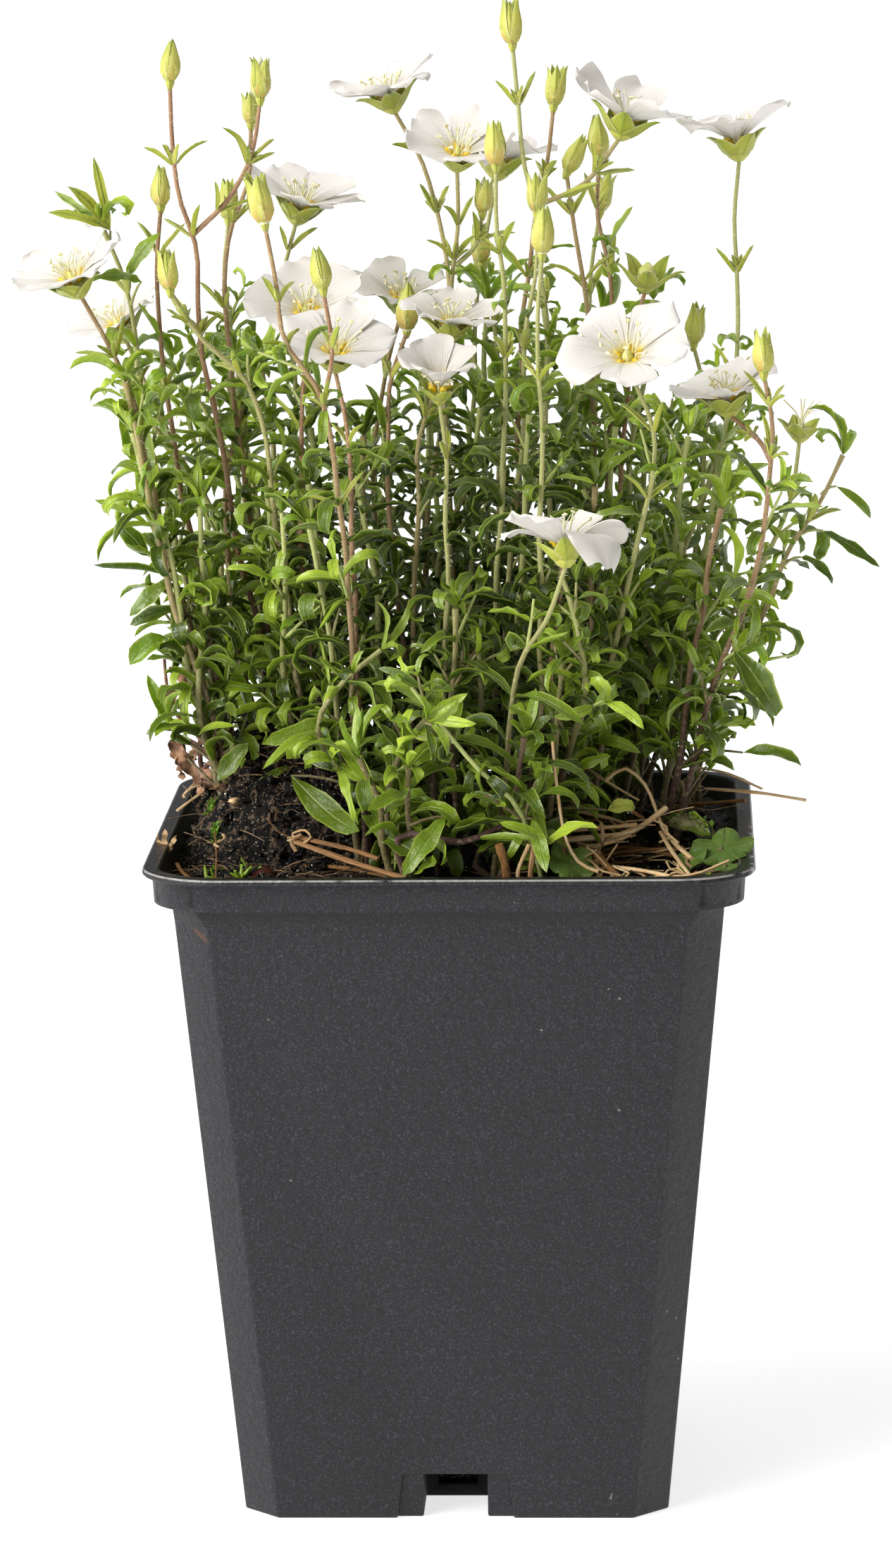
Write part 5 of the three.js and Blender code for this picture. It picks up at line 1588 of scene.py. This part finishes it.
def soil_finish():
    peat = Finish("peat", Roughness=0.85, Specular_IOR_Level=0.2)
    rough = peat.noise(700, 3).rising(0.54, 0.66)
    fibres = peat.noise(1500, 2).rising(0.63, 0.69)
    green = peat.noise(90, 3).rising(0.64, 0.7)
    low = peat.axes()[2].falling(0.0965, 0.1005)
    specks = peat.noise(2600, 2).rising(0.64, 0.70)
    colour = peat.layers(
        peat.mix(peat.noise(160, 6).rising(0.35, 0.7), shade(0x050404), shade(0x17120e)),
        (rough * 0.7, 0x7c6650), (fibres * 0.6, 0x8a7a66), (green * 0.3, 0x3c4a1c),
        (low * 0.6, 0x040303), (specks * 0.8, 0xb4aca0))
    height = peat.noise(1200, 5) + 0.6 * peat.noise(3000, 3)
    return peat.wear(colour, 0.4 + 0.5 * peat.noise(300), height, 0.0009)


PEAT = soil_finish()
report(joined_piece("peat_soil", [soil_below(), soil_top()], PEAT, "soil", slot="soil", sharp=60))

# %% [markdown]
# A grid can't overhang, so the crumbs, root threads, sand grains and chips of bark that lie loose on
# the peat are shapes of their own: lumpy balls and thin rods set down on the soil's height.

# %% Loose crumbs and threads
ROOT_THREAD = plain_finish("root_thread", 0x35251a, 0x8a6c4c, 0.8)
GRAIN = plain_finish("sand_grain", 0x8c8273, 0xdcd6c8, 0.5)
CHIP = plain_finish("bark_chip", 0xa9794a, 0xe2c294, 0.6)
RED_CHIP = plain_finish("red_chip", 0x2a0d08, 0x4e1c12, 0.4)
LUMP = spindle(6, 4)
SPHERE = unit(LUMP.points)
CHIPS = [(-32.9, -12.5, 0.75, CHIP), (-27.4, -28, 1.7, RED_CHIP), (-24.3, -35.5, 0.5, CHIP),
         (29, -33, 0.9, CHIP), (33, -27, 0.7, CHIP), (-9, -35, 0.6, CHIP)]


def on_soil(x, y, lift=0.0):
    return np.array([x, y, crumbly(x, y) + lift])


def grow_lump(growth, place, size, finish, rough=0.3):
    """A ball pulled out of round by a few random waves."""
    waves = np.array([[about(0, 4) for _ in range(3)] for _ in range(3)])
    swell = 1 + rough * np.sin(SPHERE @ waves.T * 2 + about(0, 6)).mean(1)
    sizes = np.array([size * about(1, 0.6), size * about(1, 0.6), size * 0.8])
    growth.add(LUMP, (place + SPHERE * swell[:, None] * sizes)[None], finish, tint=chance.random())


def crumbs_and_threads():
    chance.seed(3)
    growth = Growth()
    for _ in range(2300):
        x, y = about(0, 76), about(0, 76)
        if chance.random() < 0.5:
            x, y = about(-26, 28), about(-18, 42)
        elif chance.random() < 0.25:
            x, y = about(32, 14), about(8, 30)
        grow_lump(growth, on_soil(x, y, 0.2), 0.2 + 1.1 * chance.random() ** 5, PEAT, 0.9)
    for _ in range(230):
        x, y = about(0, 72), about(0, 72)
        if chance.random() < 0.6:
            x, y = about(-26, 28), about(-14, 34)
        way = unit([about(0, 2), about(0, 2), about(0, 0.5)]) * about(3, 4)
        middle = on_soil(x, y, about(0.9, 0.9))
        path = [middle - way, middle + [about(0, 1), about(0, 1), 0.4], middle + way]
        grow_rod(growth, path, about(0.08, 0.09), ROOT_THREAD, 4, 5)
    for _ in range(260):
        grow_lump(growth, on_soil(about(0, 74), about(-6, 62), 0.3), about(0.17, 0.16), GRAIN, 0.3)
    for x, y, size, finish in CHIPS:
        grow_lump(growth, on_soil(x, y, size * 0.6), size, finish, 0.5)
    return growth.piece("peat_crumbs", slot="soil")


report(crumbs_and_threads())

# %% [markdown]
# Green things have begun to grow on the peat: cushions of moss, which are many tiny blades, a few
# fleshy seedlings, and a piece of bark with moss on it.

# %% Moss and seedlings
MOSS = plain_finish("moss_green", 0x3f6410, 0x7fa626, 0.6)
MOSSY = plain_finish("mossy_bark", 0x3c3620, 0x8e8a5a, 0.8, 600)
MOSS_CUSHIONS = [(-36.3, -9, 0.7), (-35.4, -13, 0.8), (-30.8, -20, 1.7), (-28.7, -22, 1.1), (20.5, -36, 2.6),
                 (30.8, -31, 2.2), (36, -34, 1.6), (25, -31, 1.4), (34, 16, 2.0), (-35, -21, 1.2)]
SEEDLINGS = [(-35.9, -29, 4.4, 1), (-34.4, -29.4, 3.6, 2), (-30.8, -29, 3.6, 9), (37, -30, 2.4, 3)]
MOSSY_BARK = [(32.4, -14.5, 102.6), (35.4, -16, 102.8), (38.7, -17.4, 101.2)]


def moss_and_seedlings():
    chance.seed(4)
    growth = Growth()
    blades = []
    for x, y, size in MOSS_CUSHIONS:
        for _ in range(int(size * 45)):
            angle, away = about(0, 6.28), size * chance.random() ** 0.6
            out = level(angle)
            root = on_soil(x + away * out[0], y + away * out[1], 0.2)
            blades.append({"root": root, "up": UP, "out": out, "length": about(0.9, 0.5),
                           "width": about(0.6, 0.3), "elevation": about(55, 50), "curl": about(30, 60),
                           "tint": chance.random()})
    for place in flow(MOSSY_BARK, 46)[0]:
        out = unit([about(0, 2), about(-0.6, 1.6), about(0.5, 1.4)])
        blades.append({"root": place + out, "up": unit(UP + 0.2 - out * (out[2] + 0.1)), "out": out,
                       "length": about(1.0, 0.6), "width": about(0.5, 0.3), "elevation": 20, "curl": 30,
                       "tint": chance.random()})
    grow_blades(growth, blades, LEAF_OUTLINE, MOSS, 5, 3, thick=0.15)
    grow_rod(growth, MOSSY_BARK, [(0, 0.9), (0.3, 1.5), (0.6, 1.3), (0.8, 1.5), (1, 0.7)], MOSSY, 9, 10)
    for x, y, tall, count in SEEDLINGS:
        root = on_soil(x, y, -0.3)
        for k in range(count):
            out = level(k * 0.9 + x)
            end = root + UP * tall * about(0.8, 0.4) + out * about(1.5, 1)
            path = [root, root + UP * tall * 0.4 + out * 0.3, end]
            grow_rod(growth, path, [(0, 0.2), (0.6, 0.32), (1, 0.15)], LEAF, 6, 5, tint=0.4, young=0.8)
    return growth.piece("moss_and_seedlings", slot="foliage")


report(moss_and_seedlings())

# %% [markdown]
# Dry straw lies on the soil: flattened stalks, split at their ends, with thin fibres that have come
# loose round them. Each is a rod a little flatter than it is wide, which wanders from its line.

# %% Growing straw
def straw_finish():
    straw = Finish("dry_straw", Subsurface_Weight=0.05, Subsurface_Scale=0.001)
    across, along = straw.blade()
    grain = straw.node("CombineXYZ", {}, {0: across * 5, 1: along * 4, 2: straw.attribute("tint") * 9})
    streak = straw.noise(1.6, 4, vector=grain)
    bands = streak.rising(0.35, 0.65)
    pale = straw.mix(bands, shade(0xf2ba76), shade(0xffe8bc))
    brown = straw.mix(bands, shade(0x68451f), shade(0xab7a42))
    colour = straw.mix(straw.attribute("tint").rising(0.3, 0.6), brown, pale)
    colour = straw.layers(colour, (straw.noise(500).rising(0.64, 0.75) * 0.3, 0x4c3826))
    return straw.wear(colour, 0.5 + 0.3 * streak, streak, 0.0002)


STRAW = straw_finish()


def grow_straw(growth, ends, radius, tint, bow=0.6, flat=0.6):
    ends = [np.array(end, float) for end in ends]
    length = np.linalg.norm(ends[-1] - ends[0])
    if len(ends) == 2:
        aside = unit(np.cross(ends[1] - ends[0], UP))
        mids = [ends[0] * (1 - t) + ends[1] * t + aside * about(0, bow) + UP * about(0, bow * 0.6)
                for t in (0.35, 0.7)]
        ends = [ends[0], *mids, ends[1]]
    waist = [(t, radius * about(1, 0.35)) for t in np.linspace(0, 1, 7)]
    grow_rod(growth, ends, waist, STRAW, 7, max(8, int(length / 1.5)), tint=tint, flat=flat)


def frayed(growth, place, toward, radius, count, length):
    """Thin split fibres at a broken end."""
    for _ in range(count):
        way = unit(toward + [about(0, 0.9), about(0, 0.9), about(0, 0.7)])
        way = way * about(length, length * 0.7)
        fibre = [place, place + way * 0.5 + UP * about(0, 0.5), place + way]
        grow_straw(growth, fibre, radius * 0.35, about(0.8, 0.4))


print("a finish for straw:", STRAW.name)

# %% [markdown]
# The straws lie in four places: a bundle at the right, sticks at the left, three sticks over the
# rim, and one thin stem that hangs in front of the plant. The larger ones are listed, short ones are
# strewn along them, and a few torn husks lie on the rim.

# %% The straws
# Each straw's radius and tint, and the places that it goes through.
STRAWS = {
    "straw_bundle": [
        (0.8, 0.95, (15.8, -22, 101.2), (26.5, -19.5, 102), (28.6, -18.4, 103), (31.8, -16, 105)),
        (0.55, 0.85, (16, -20.5, 102.4), (22, -19.5, 102.7), (27.5, -18.2, 102.9)),
        (0.4, 0.7, (18, -14.5, 104.4), (23, -14.5, 103.4), (28, -15, 101.6)),
        (0.5, 0.75, (22.8, -13, 108.6), (25.5, -13, 110.6), (28.6, -14, 108.4), (31.6, -18, 102),
         (35.7, -28, 99.6)),
        (0.3, 0.9, (31, -19, 102), (33, -27, 100.2), (35.4, -35.5, 98.6)),
        (0.5, 0.9, (24, -34, 99.6), (28.2, -35.5, 99.4), (32.4, -37, 98.8)),
        (0.5, 0.3, (21.4, -32, 101.4), (23.4, -35, 99.8), (25.4, -37.4, 98.6)),
        (0.3, 0.7, (29.5, -38, 98.8), (36, -37.5, 99.2), (41, -34.5, 100.6)),
        (0.35, 0.6, (20, -27, 101), (24, -25, 101.6), (26.5, -21, 101.8)),
        (0.6, 0.2, (19, -12, 97), (26, -14.5, 98.8), (33, -20, 98.6)),
        (0.6, 0.2, (17, -16.5, 96.4), (25, -17.5, 98.6), (34.5, -18.5, 99.4))],
    "straw_left": [
        (0.6, 0.34, (-22.9, -24, 101.6), (-12.5, -32, 99.5), (-6.1, -36, 98.4)),
        (0.5, 0.32, (-22.4, -23.6, 102.2), (-13.8, -28, 101), (-10.4, -30.4, 100.2)),
        (0.34, 0.45, (-23.4, -23.4, 102.8), (-21.6, -24, 103.4), (-20.6, -24.8, 102.4),
         (-22.4, -24.8, 101.2)),
        (0.3, 0.4, (-22, -24.6, 102.8), (-23.6, -24.4, 101.8), (-22.8, -25.2, 100.4)),
        (0.09, 0.2, (-27.4, -21, 104.6), (-25.4, -22.6, 102.8), (-22.6, -24, 102)),
        (0.6, 0.2, (-26, -18, 96.6), (-17, -22, 97.4), (-9.5, -25, 96.6)),
        (0.24, 0.9, (-41.8, -8, 103.4), (-39.6, -6, 104.8), (-37, -3, 106.2)),
        (0.06, 0.9, (-40.6, -6.6, 105.6), (-40.2, -6.4, 106.4), (-39.2, -6, 107.4)),
        (0.05, 1, (-39.4, -6, 104.2), (-40, -6, 105.8), (-41, -6.4, 107)),
        (0.3, 0.3, (-40.6, -24, 98.4), (-39.6, -28, 98), (-38.2, -31.6, 97.8)),
        (0.14, 0.1, (-35.2, -20, 102.4), (-34.6, -26, 100.4), (-34, -36, 98.4))],
    "straw_over_rim": [
        (0.4, 0.6, (38, 9, 103.4), (46, 8, 102.9), (53.2, 7, 101.9)),
        (0.35, 0.75, (36, 11, 106.4), (41, 9, 105.8), (46.5, 7.4, 103.6)),
        (0.5, 0.2, (34, 13, 100.1), (39, 12, 100.6), (44, 11, 101.2))],
}
SHORT_STRAWS = {"straw_bundle": 60, "straw_left": 2, "straw_over_rim": 1}
HUSK_OUTLINE = [(0, 0.6), (0.25, 1), (0.5, 0.6), (0.7, 0.75), (0.85, 0.3), (1, 0.05)]
HUSKS = [((-43.4, -17, 98.6), (-43, -14.6, 102.2), 1.3), ((-42.8, -16.6, 98.6), (-41.3, -14.6, 101), 1.0),
         ((-43.9, -16, 98.8), (-44.3, -14.6, 101.2), 0.8), ((-43.6, -17.2, 98.2), (-42, -16, 100), 1.1)]
STUBS = [(8.6, -1, 0.6, 0.2), (12.2, 0.6, 0.45, 0.38), (10.4, 1.6, 0.3, 0.5)]


def grow_husks(growth):
    """Torn flakes of a stalk, on the rim at the left."""
    flakes = []
    for root, tip, width in HUSKS:
        out = unit(np.array(tip) - root)
        flakes.append({"root": np.array(root), "up": unit([0.3, -0.8, 0.5]), "out": out, "width": width,
                       "length": math.dist(root, tip), "elevation": 10, "curl": about(30, 40),
                       "ripple": 0.3, "phase": about(0, 6), "tint": about(0.45, 0.3)})
    grow_blades(growth, flakes, HUSK_OUTLINE, STRAW, 8, 10, thick=0.12)


def straw_piece(name):
    chance.seed(len(name))
    growth = Growth()
    places = []
    if name == "straw_left":
        grow_husks(growth)
    for radius, tint, *path in STRAWS[name]:
        path = [np.array(place, float) for place in path]
        grow_straw(growth, path, radius, tint)
        start, end = path[0], path[-1]
        if radius > 0.35:
            frayed(growth, start, unit(start - end), radius, 2, 1.8)
        places.append((start, end))
    for _ in range(SHORT_STRAWS[name]):
        start, end = chance.choice(places)
        middle = start + (end - start) * chance.random() + [about(0, 3), about(0, 3), about(-0.4, 1)]
        way = unit(end - start + [about(0, 16), about(0, 16), about(0, 2)]) * about(3.6, 4)
        if max(abs(middle[:2]) + abs(way[:2])) > 41.5 and name != "straw_over_rim":
            continue
        grow_straw(growth, [middle - way, middle + way], about(0.2, 0.16), about(0.5, 0.8), bow=2.0)
    return growth.piece(name.replace("straw", "dry"), name, slot="straw")


def hanging_straw():
    """A thin dead stem in front of the plant, a thicker one behind it, and three stubs."""
    growth = Growth()
    thin = [(22, -37.4, 99.6), (19.4, -37, 100.7), (17.4, -36.2, 104), (16, -35, 112), (15.4, -34, 118.3)]
    grow_straw(growth, thin, 0.42, 0.9)
    thick = [(17.5, -31, 92), (17.2, -32.5, 100), (16.4, -33.6, 108)]
    grow_rod(growth, thick, [(0, 0.5), (1, 0.2)], STRAW, 6, 8, tint=0.2)
    for x, lean, radius, tint in STUBS:
        grow_straw(growth, [(x, -37, 96), (x, -38.4, 100), (x + lean, -39, 104)], radius, tint)
    return growth.piece("dry_hanging", "straw_hanging", slot="straw")


for name in STRAWS:
    report(straw_piece(name))
report(hanging_straw())

# %% [markdown]
# Brown leaves and twigs hang from a dead stub at the left. The leaves are the torn strips that are
# left of them: blades with a ragged outline that roll and curl much more than living ones.

# %% Dead leaves
DEAD = plain_finish("dead_leaf", 0x4e3222, 0xb88c68, 0.75, 520)
DEAD_WOOD = plain_finish("dead_wood", 0x2a1712, 0x6c4634, 0.75, 700)
DEAD_OUTLINE = [(0, 0.4), (0.15, 0.9), (0.3, 0.65), (0.45, 1), (0.6, 0.75), (0.75, 0.95), (0.9, 0.4),
                (1, 0.1)]
DEAD_ROOT = np.array([-35.5, 11, 93.0])
DEAD_TWIGS = [
    (0.6, [(-35, 8, 97), (-36.6, 3, 103.6), (-38.4, -2, 108.6), (-38.6, -3, 111.6), (-38.2, -4, 115.4)]),
    (0.4, [(-38.5, -3, 112), (-40, 0, 112.6), (-42.2, 4, 112.4), (-43.6, 6, 111.8)]),
    (0.4, [(-38.3, -4, 114), (-37, -5, 115.6), (-35.6, -5, 116.4)]),
    (0.45, [(-38.2, -2, 108.6), (-36.6, -6, 110.6), (-35.2, -8, 111.6), (-34.2, -8, 113.6)]),
    (0.35, [(-36.6, 3, 104.4), (-38, 0, 106.4), (-39.8, 0, 105.8)]),
    (0.35, [(-38.2, -4, 115.2), (-41.4, -3, 116.4), (-43.2, -3, 120.6), (-43.8, -3, 127.4)]),
]
DEAD_STRIPS = [
    ((-43.9, 6, 111.8), (-39.4, 5, 105.6), 2.6, 50), ((-43.2, 6.4, 111.4), (-40.2, 5.4, 107.4), 2.2, -80),
    ((-43.6, 6, 110.6), (-41.8, 5, 106.4), 1.2, 160), ((-39.9, 5, 106.4), (-38.6, 4, 103), 1.6, 90),
    ((-38.9, -2, 107.6), (-34.6, -8, 109.4), 2.2, 110), ((-38, -6, 106.4), (-34.8, -9, 107), 1.8, -80),
    ((-38.9, -3, 112.8), (-36.4, -6, 114.4), 2.0, 120), ((-38.2, -4, 111.2), (-35.8, -8, 112.8), 2.2, -140),
    ((-39.8, 0, 112.6), (-39.2, -1, 110), 1.4, 60), ((-36.8, -7, 110.8), (-34.6, -9, 109.8), 1.8, 100),
    ((-35.6, -8, 111.8), (-37.4, -8, 112.4), 1.6, 90), ((-38.3, -4, 115.4), (-36.2, -5, 116), 1.5, -60),
    ((-43.4, -3, 121.5), (-41.4, -3.4, 118.4), 2.2, 120), ((-43, -3, 124.6), (-39, -4, 121.4), 2.0, 30),
]


def dead_leaves():
    chance.seed(5)
    growth = Growth()
    grow_rod(growth, [DEAD_ROOT, DEAD_ROOT + UP * 7], [(0, 0.9), (0.6, 0.7), (1, 0.5)], DEAD, 7, 5)
    for radius, twig in DEAD_TWIGS:
        bark = DEAD_WOOD if radius > 0.35 else DEAD
        grow_rod(growth, twig, [(0, radius), (0.5, radius * 0.8), (1, radius * 0.6)], bark, 6, 8)
    blades = []
    for root, tip, width, roll in DEAD_STRIPS:
        root, tip = np.array(root, float), np.array(tip, float)
        out = unit(tip - root)
        blades.append({"root": root, "up": square_to(out, np.array([0, -0.8, 0.6])), "out": out,
                       "width": width, "length": np.linalg.norm(tip - root) * 1.15,
                       "elevation": about(20, 20), "curl": about(50, 30), "tip_curl": about(30, 80),
                       "bend": about(0, 30), "roll": roll, "channel": about(0.4, 0.4),
                       "ripple": about(0.6, 0.2), "phase": about(0, 6)})
    grow_blades(growth, blades, DEAD_OUTLINE, DEAD, 10, 12, thick=0.18)
    return growth.piece("dead_leaves_curled", "dead_leaves", slot="dead_leaf")


report(dead_leaves())

# %% [markdown]
# A weed with scalloped leaves has come up at the right. Its leaf is a round sheet whose edge is drawn
# in between five lobes, laid on a tilted plane at the end of a short stalk.

# %% The weed
# Each leaf's foot and centre, its size, the direction that it faces, and its turn.
WEED_LEAVES = [
    ((31, -26, 93), (40.2, -26.4, 100.9), 4.7, (-0.1, -0.6, 1), 0.2),
    ((31, -26, 93), (35.6, -27.5, 99.6), 3.2, (-0.5, -0.4, 1), 1.2),
    ((31, -26, 93), (40.8, -32, 99.2), 2.2, (0.1, -0.3, 1), 0.5),
    ((20, -30, 94), (18, -34.5, 100.4), 4.4, (0.1, -0.5, 1), 2.1),
]


def weed_finish():
    weed = Finish("weed_green", Roughness=0.5, Subsurface_Weight=0.1, Subsurface_Scale=0.002)
    rib = abs(weed.blade()[0]).falling(0.02, 0.14)
    colour = weed.mix(weed.noise(300), shade(0x3a5410), shade(0x688432))
    colour = weed.layers(colour, (rib * 0.4, 0x9aa45c))
    return weed.wear(colour, 0.45 + 0.2 * weed.noise(700), weed.noise(900) - 0.8 * rib, 0.0004)


def lobed_template():
    """A round sheet, drawn in between five scalloped lobes."""
    shape = bmesh.new()
    bmesh.ops.create_circle(shape, cap_ends=True, cap_tris=True, segments=60, radius=1)
    bmesh.ops.subdivide_edges(shape, edges=[edge for edge in shape.edges if not edge.is_boundary], cuts=7)
    bmesh.ops.solidify(shape, geom=shape.faces[:], thickness=0.06)
    face_outwards(shape)
    template = Template(shape)
    x, y, z = template.points.T
    angle, away = np.arctan2(y, x), np.hypot(x, y)
    lobes = 0.74 + 0.26 * np.abs(np.cos(angle * 2.5)) ** 0.55 + 0.03 * np.abs(np.cos(angle * 12.5))
    reach = away * (1 + (lobes - 1) * away**2)
    wave = 0.12 * away**2 * np.cos(angle * 5) + 0.05 * np.abs(np.sin(angle * 2.5)) * away
    template.flat = np.stack([reach * np.cos(angle), reach * 0.8 * np.sin(angle), wave + z], 1)
    template.rib, template.away = np.sin(angle * 2.5), away
    return template


def weed_leaves():
    growth = Growth()
    template, green = lobed_template(), weed_finish()
    for foot, centre, size, facing_up, turn in WEED_LEAVES:
        foot, centre = np.array(foot, float), np.array(centre, float)
        grow_rod(growth, [foot, (foot + centre) / 2 + UP, centre], 0.4, STEM, 6, 6, tint=0.2)
        axis = Vector(facing_up).normalized()
        across, third = stand(axis, math.degrees(turn))
        x, y, z = template.flat.T[:, :, None]
        laid = across * x + third * y + np.array(axis) * z
        growth.add(template, (laid * size + centre)[None], green, template.rib, template.away, tint=0.5)
    return growth.piece("weed_leaf_lobed", "weed_leaf", slot="weed_leaf")


report(weed_leaves())

# %% [markdown]
# The pot stands on a plain pale floor that runs far back, so that no edge of it shows. A dim white
# world fills the shadows. The shape comes from a wide, soft sun at the upper left, like a window, and
# from four soft lamps: two more at the left, one above the back, and a weak one in front.

# %% Floor and studio light
LIT_POINT = Vector((0, 0, 0.12))
SOFT_LAMPS = {
    "key": {"place": (-1.0, -0.9, 0.75), "size": 0.5, "power": 7},
    "side": {"place": (-1.5, -0.05, 0.15), "size": 0.9, "power": 5.4},
    "top": {"place": (0.25, 0.55, 1.3), "size": 0.9, "power": 5},
    "front": {"place": (-0.7, -1.2, 0.4), "size": 0.5, "power": 3},
}


def lay_floor():
    shape = bmesh.new()
    bmesh.ops.create_grid(shape, x_segments=1, y_segments=1, size=20)
    mesh = bpy.data.meshes.new("studio_floor")
    shape.to_mesh(mesh)
    shape.free()
    white = Finish("floor_white", Roughness=0.8, Specular_IOR_Level=0.1, Emission_Color=(1, 1, 1, 1),
                   Emission_Strength=0.74)
    mesh.materials.append(white.wear(white.mix(white.noise(30), shade(0xbcbcbd), shade(0xc0c0c1))))
    ground = bpy.data.objects.new("studio_floor", mesh)
    bpy.context.scene.collection.objects.link(ground)
    ground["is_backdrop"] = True


def shine(lamp, place, towards):
    """Puts a lamp in the scene; it shines from its place, or direction, to another point."""
    made = bpy.data.objects.new(lamp.name, lamp)
    made.location = place
    made.rotation_euler = (Vector(place) - towards).to_track_quat("Z", "Y").to_euler()
    bpy.context.scene.collection.objects.link(made)


def light_studio():
    sun = bpy.data.lights.new("window", "SUN")
    sun.energy = 2.6
    sun.angle = math.radians(52)
    shine(sun, (-0.85, -0.5, 0.78), Vector((0, 0, 0)))
    for name, settings in SOFT_LAMPS.items():
        lamp = bpy.data.lights.new(name, "AREA")
        lamp.size = settings["size"]
        lamp.energy = settings["power"]
        shine(lamp, settings["place"], LIT_POINT)
    world = bpy.data.worlds.new("studio")
    world.use_nodes = True
    background = world.node_tree.nodes["Background"]
    background.inputs["Color"].default_value = (1, 1, 1, 1)
    background.inputs["Strength"].default_value = 0.18
    bpy.context.scene.world = world
    bpy.context.scene.view_settings.view_transform = "Standard"


lay_floor()
light_studio()
print("lights:", [light.name for light in bpy.data.lights])

# %% [markdown]
# Last, the dressed plant must stay in the room that the solids take, so the sizes of both boxes are
# printed.

# %% Sizes, and the finish
dressed_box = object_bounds()
weights = {}
for piece in bpy.data.objects:
    if piece.type == "MESH" and not piece.hide_render:
        weights[piece.name] = sum(len(face.vertices) - 2 for face in piece.data.polygons)
print("triangles shown:", sum(weights.values()), "most in a piece:", max(weights.values()))
sizes = {"solids": [list(corner) for corner in solid_box],
         "dressed": [list(corner) for corner in dressed_box]}
for name, (low, high) in sizes.items():
    print(name, [round(1000 * (top - bottom), 1) for bottom, top in zip(low, high)], "mm")
